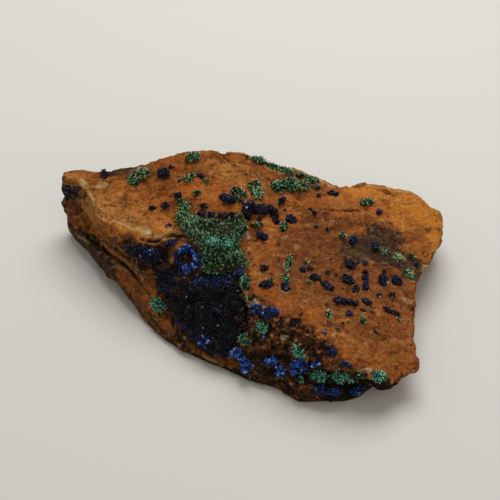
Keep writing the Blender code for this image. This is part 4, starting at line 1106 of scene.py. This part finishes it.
def add_camera(scene, look):
    """The camera at the display viewpoint."""
    camera = bpy.data.objects.new("camera", bpy.data.cameras.new("camera"))
    camera.data.lens = look.lens
    camera.data.sensor_width = SENSOR_WIDTH
    camera.data.clip_start = NEAREST_SEEN
    camera.location = VIEW_EYE
    camera.rotation_euler = (-VIEW_BACK).to_track_quat("-Z", "Y").to_euler()
    scene.collection.objects.link(camera)
    scene.camera = camera
    scene.view_settings.view_transform = "Standard"


# ---------------------------------------------------------------- what a user would change
class RockLook(bpy.types.PropertyGroup):
    """The rock's grain and colours."""

    rock_voxel: FloatProperty(
        name="Grain", description="Size of the rock mesh's faces",
        default=0.52 * MM, min=0.3 * MM, unit="LENGTH", precision=5,
    )
    rust: FloatVectorProperty(
        name="Rust", description="The rock's main colour",
        subtype="COLOR", default=linear("#94501E"), min=0, max=1,
    )
    deep_rust: FloatVectorProperty(
        name="Deep rust", description="Darker, redder patches",
        subtype="COLOR", default=linear("#653519"), min=0, max=1,
    )
    tan: FloatVectorProperty(
        name="Tan", description="Paler, drier patches",
        subtype="COLOR", default=linear("#B97C3C"), min=0, max=1,
    )
    # Pale on the grain's crowns: partly dust, partly painted highlight where it shares the relief's noise
    dust_and_highlight: FloatVectorProperty(
        name="Dust", description="What powder on the grain's crowns adds",
        subtype="COLOR", default=linear("#8A6634"), min=0, max=1,
    )
    shade: FloatVectorProperty(
        name="Shade", description="What is left of the colour in the grain's hollows",
        subtype="COLOR", default=linear("#6A6058"), min=0, max=1,
    )
    orange: FloatVectorProperty(
        name="Orange", description="Fresh, powdery patches",
        subtype="COLOR", default=linear("#BC682A"), min=0, max=1,
    )
    bright_ochre: FloatVectorProperty(
        name="Bright ochre", description="The right-hand shoulder",
        subtype="COLOR", default=linear("#C2772A"), min=0, max=1,
    )
    umber: FloatVectorProperty(
        name="Umber", description="Dark brown stains",
        subtype="COLOR", default=linear("#3A2820"), min=0, max=1,
    )
    # Also the pale of the lips and the standing edges, there partly painted highlight
    worn: FloatVectorProperty(
        name="Worn", description="Pale, rubbed lips and grains",
        subtype="COLOR", default=linear("#BFA06A"), min=0, max=1,
    )
    chalk: FloatVectorProperty(
        name="Chalk", description="Small pinkish white grains",
        subtype="COLOR", default=linear("#CDB5A2"), min=0, max=1,
    )
    # Painted shade on the steep walls; also the dark base of the rough, crumbly zone
    wall: FloatVectorProperty(
        name="Wall", description="Broken walls",
        subtype="COLOR", default=linear("#553219"), min=0, max=1,
    )
    # Dark staining and black crumbs; also painted shadow in cracks, under the lip and along the front foot,
    # and painted shade in the hollows
    soot: FloatVectorProperty(
        name="Soot", description="Manganese black in cracks and corners",
        subtype="COLOR", default=linear("#0E0C0A"), min=0, max=1,
    )


class CrystalLook(bpy.types.PropertyGroup):
    """Sizes of the crystals."""

    needle_length: FloatProperty(
        name="Needle length", description="Typical malachite needle",
        default=1.10 * MM, min=0, unit="LENGTH", precision=5,
    )
    needle_width: FloatProperty(
        name="Needle width", description="Malachite needle at its foot",
        default=0.38 * MM, min=0, unit="LENGTH", precision=5,
    )
    needle_spacing: FloatProperty(
        name="Needle spacing", description="Between neighbouring needles",
        default=0.32 * MM, min=0.1 * MM, unit="LENGTH", precision=5,
    )
    clump_size: FloatProperty(
        name="Clump size", description="Across a clump in a mat, or a knot of blades",
        default=1.7 * MM, min=0.1 * MM, unit="LENGTH", precision=5,
    )
    spray_size: FloatProperty(
        name="Spray size", description="Across a spray of needles in a tuft",
        default=2.8 * MM, min=0.1 * MM, unit="LENGTH", precision=5,
    )
    blade_size: FloatProperty(
        name="Blade size", description="Typical azurite blade",
        default=0.88 * MM, min=0, unit="LENGTH", precision=5,
    )
    blade_spacing: FloatProperty(
        name="Blade spacing", description="Between neighbouring blades",
        default=0.56 * MM, min=0.1 * MM, unit="LENGTH", precision=5,
    )
    plate_size: FloatProperty(
        name="Plate size", description="Typical plate of the azurite crust",
        default=0.85 * MM, min=0, unit="LENGTH", precision=5,
    )
    plate_spacing: FloatProperty(
        name="Plate spacing", description="Between neighbouring plates",
        default=0.50 * MM, min=0.1 * MM, unit="LENGTH", precision=5,
    )


class StageLook(bpy.types.PropertyGroup):
    """The floor, the lights and the camera."""

    floor: FloatVectorProperty(
        name="Floor", description="The floor's colour",
        subtype="COLOR", default=linear("#D9D8D2"), min=0, max=1,
    )
    sky: FloatProperty(name="Sky", description="Strength of the even light", default=0.37, min=0)
    key: FloatProperty(name="Key", description="Power of the large light", default=3.1, min=0, unit="POWER")
    lens: FloatProperty(name="Lens", description="Focal length in mm", default=92.16, min=1, unit="CAMERA")


# ---------------------------------------------------------------- operators
class SPECIMEN_OT_rock(bpy.types.Operator):
    """Add the slab of broken, rusty limonite"""

    bl_idname = "specimen.rock"
    bl_label = "Limonite rock"

    def execute(self, context):
        look = context.scene.specimen_rock
        mesh = limonite_rock(look)
        mesh.shade_smooth()
        add_piece("limonite_rock", mesh, limonite_material(look), ["limonite_matrix"])
        Ground.tree = None  # so that crystals that are grown after this stand on this rock
        return {"FINISHED"}


class SPECIMEN_OT_malachite_mound(bpy.types.Operator):
    """Grow the needle mat of the large malachite mound"""

    bl_idname = "specimen.malachite_mound"
    bl_label = "Malachite mound"

    def execute(self, context):
        grow_group("malachite_mound", context.scene.specimen_crystals, MOUND_SEED)
        return {"FINISHED"}


class SPECIMEN_OT_malachite_tufts(bpy.types.Operator):
    """Grow the malachite tufts"""

    bl_idname = "specimen.malachite_tufts"
    bl_label = "Malachite tufts"

    def execute(self, context):
        for seed, node in enumerate(groups_of("malachite"), TUFT_SEED):
            grow_group(node, context.scene.specimen_crystals, seed)
        return {"FINISHED"}


class SPECIMEN_OT_azurite_crust(bpy.types.Operator):
    """Grow the dark druse of the azurite crust and of the patch under the lip"""

    bl_idname = "specimen.azurite_crust"
    bl_label = "Azurite crust"

    def execute(self, context):
        for seed, node in enumerate(("azurite_crust", "azurite_lip_patch"), CRUST_SEED):
            grow_group(node, context.scene.specimen_crystals, seed)
        return {"FINISHED"}


class SPECIMEN_OT_azurite_groups(bpy.types.Operator):
    """Grow the azurite groups and the bright ring"""

    bl_idname = "specimen.azurite_groups"
    bl_label = "Azurite groups"

    def execute(self, context):
        for seed, node in enumerate(groups_of("azurite"), GROUP_SEED):
            grow_group(node, context.scene.specimen_crystals, seed)
        return {"FINISHED"}


class SPECIMEN_OT_small_crystals(bpy.types.Operator):
    """Scatter the small crystals over the rock"""

    bl_idname = "specimen.small_crystals"
    bl_label = "Small crystals"

    def execute(self, context):
        look = context.scene.specimen_crystals
        grow_small("azurite_small_crystals", SMALL_AZURITE, look, SMALL_AZURITE_SEED)
        grow_small("malachite_small_crystals", SMALL_MALACHITE, look, SMALL_MALACHITE_SEED)
        return {"FINISHED"}


class SPECIMEN_OT_stage(bpy.types.Operator):
    """Add the floor, the lights and the camera"""

    bl_idname = "specimen.stage"
    bl_label = "Stage"

    def execute(self, context):
        look = context.scene.specimen_stage
        add_floor(context.scene, look)
        add_lights(context.scene, look)
        add_camera(context.scene, look)
        return {"FINISHED"}


class SPECIMEN_PT_panel(bpy.types.Panel):
    """The specimen's sizes and colours, and a button for each group of pieces"""

    bl_label = "Azurite specimen"
    bl_idname = "SPECIMEN_PT_panel"
    bl_space_type = "VIEW_3D"
    bl_region_type = "UI"
    bl_category = "Azurite specimen"

    def draw(self, context):
        scene = context.scene
        for group in (scene.specimen_rock, scene.specimen_crystals, scene.specimen_stage):
            box = self.layout.box()
            for name in group.__annotations__:
                box.prop(group, name)
        for operator in OPERATORS:
            self.layout.operator(operator.bl_idname)


OPERATORS = (
    SPECIMEN_OT_rock, SPECIMEN_OT_malachite_mound, SPECIMEN_OT_malachite_tufts, SPECIMEN_OT_azurite_crust,
    SPECIMEN_OT_azurite_groups, SPECIMEN_OT_small_crystals, SPECIMEN_OT_stage,
)
CLASSES = (RockLook, CrystalLook, StageLook, *OPERATORS, SPECIMEN_PT_panel)


def register():
    """Registers the classes and gives the scene their settings."""
    for cls in CLASSES:
        bpy.utils.register_class(cls)
    bpy.types.Scene.specimen_rock = PointerProperty(type=RockLook)
    bpy.types.Scene.specimen_crystals = PointerProperty(type=CrystalLook)
    bpy.types.Scene.specimen_stage = PointerProperty(type=StageLook)


def unregister():
    """Takes the settings and the classes away again."""
    del bpy.types.Scene.specimen_stage
    del bpy.types.Scene.specimen_crystals
    del bpy.types.Scene.specimen_rock
    for cls in reversed(CLASSES):
        bpy.utils.unregister_class(cls)


def main():
    """Adds every piece and the stage, in order."""
    register()
    bpy.ops.specimen.rock()
    bpy.ops.specimen.malachite_mound()
    bpy.ops.specimen.malachite_tufts()
    bpy.ops.specimen.azurite_crust()
    bpy.ops.specimen.azurite_groups()
    bpy.ops.specimen.small_crystals()
    bpy.ops.specimen.stage()


if __name__ == "__main__":
    main()
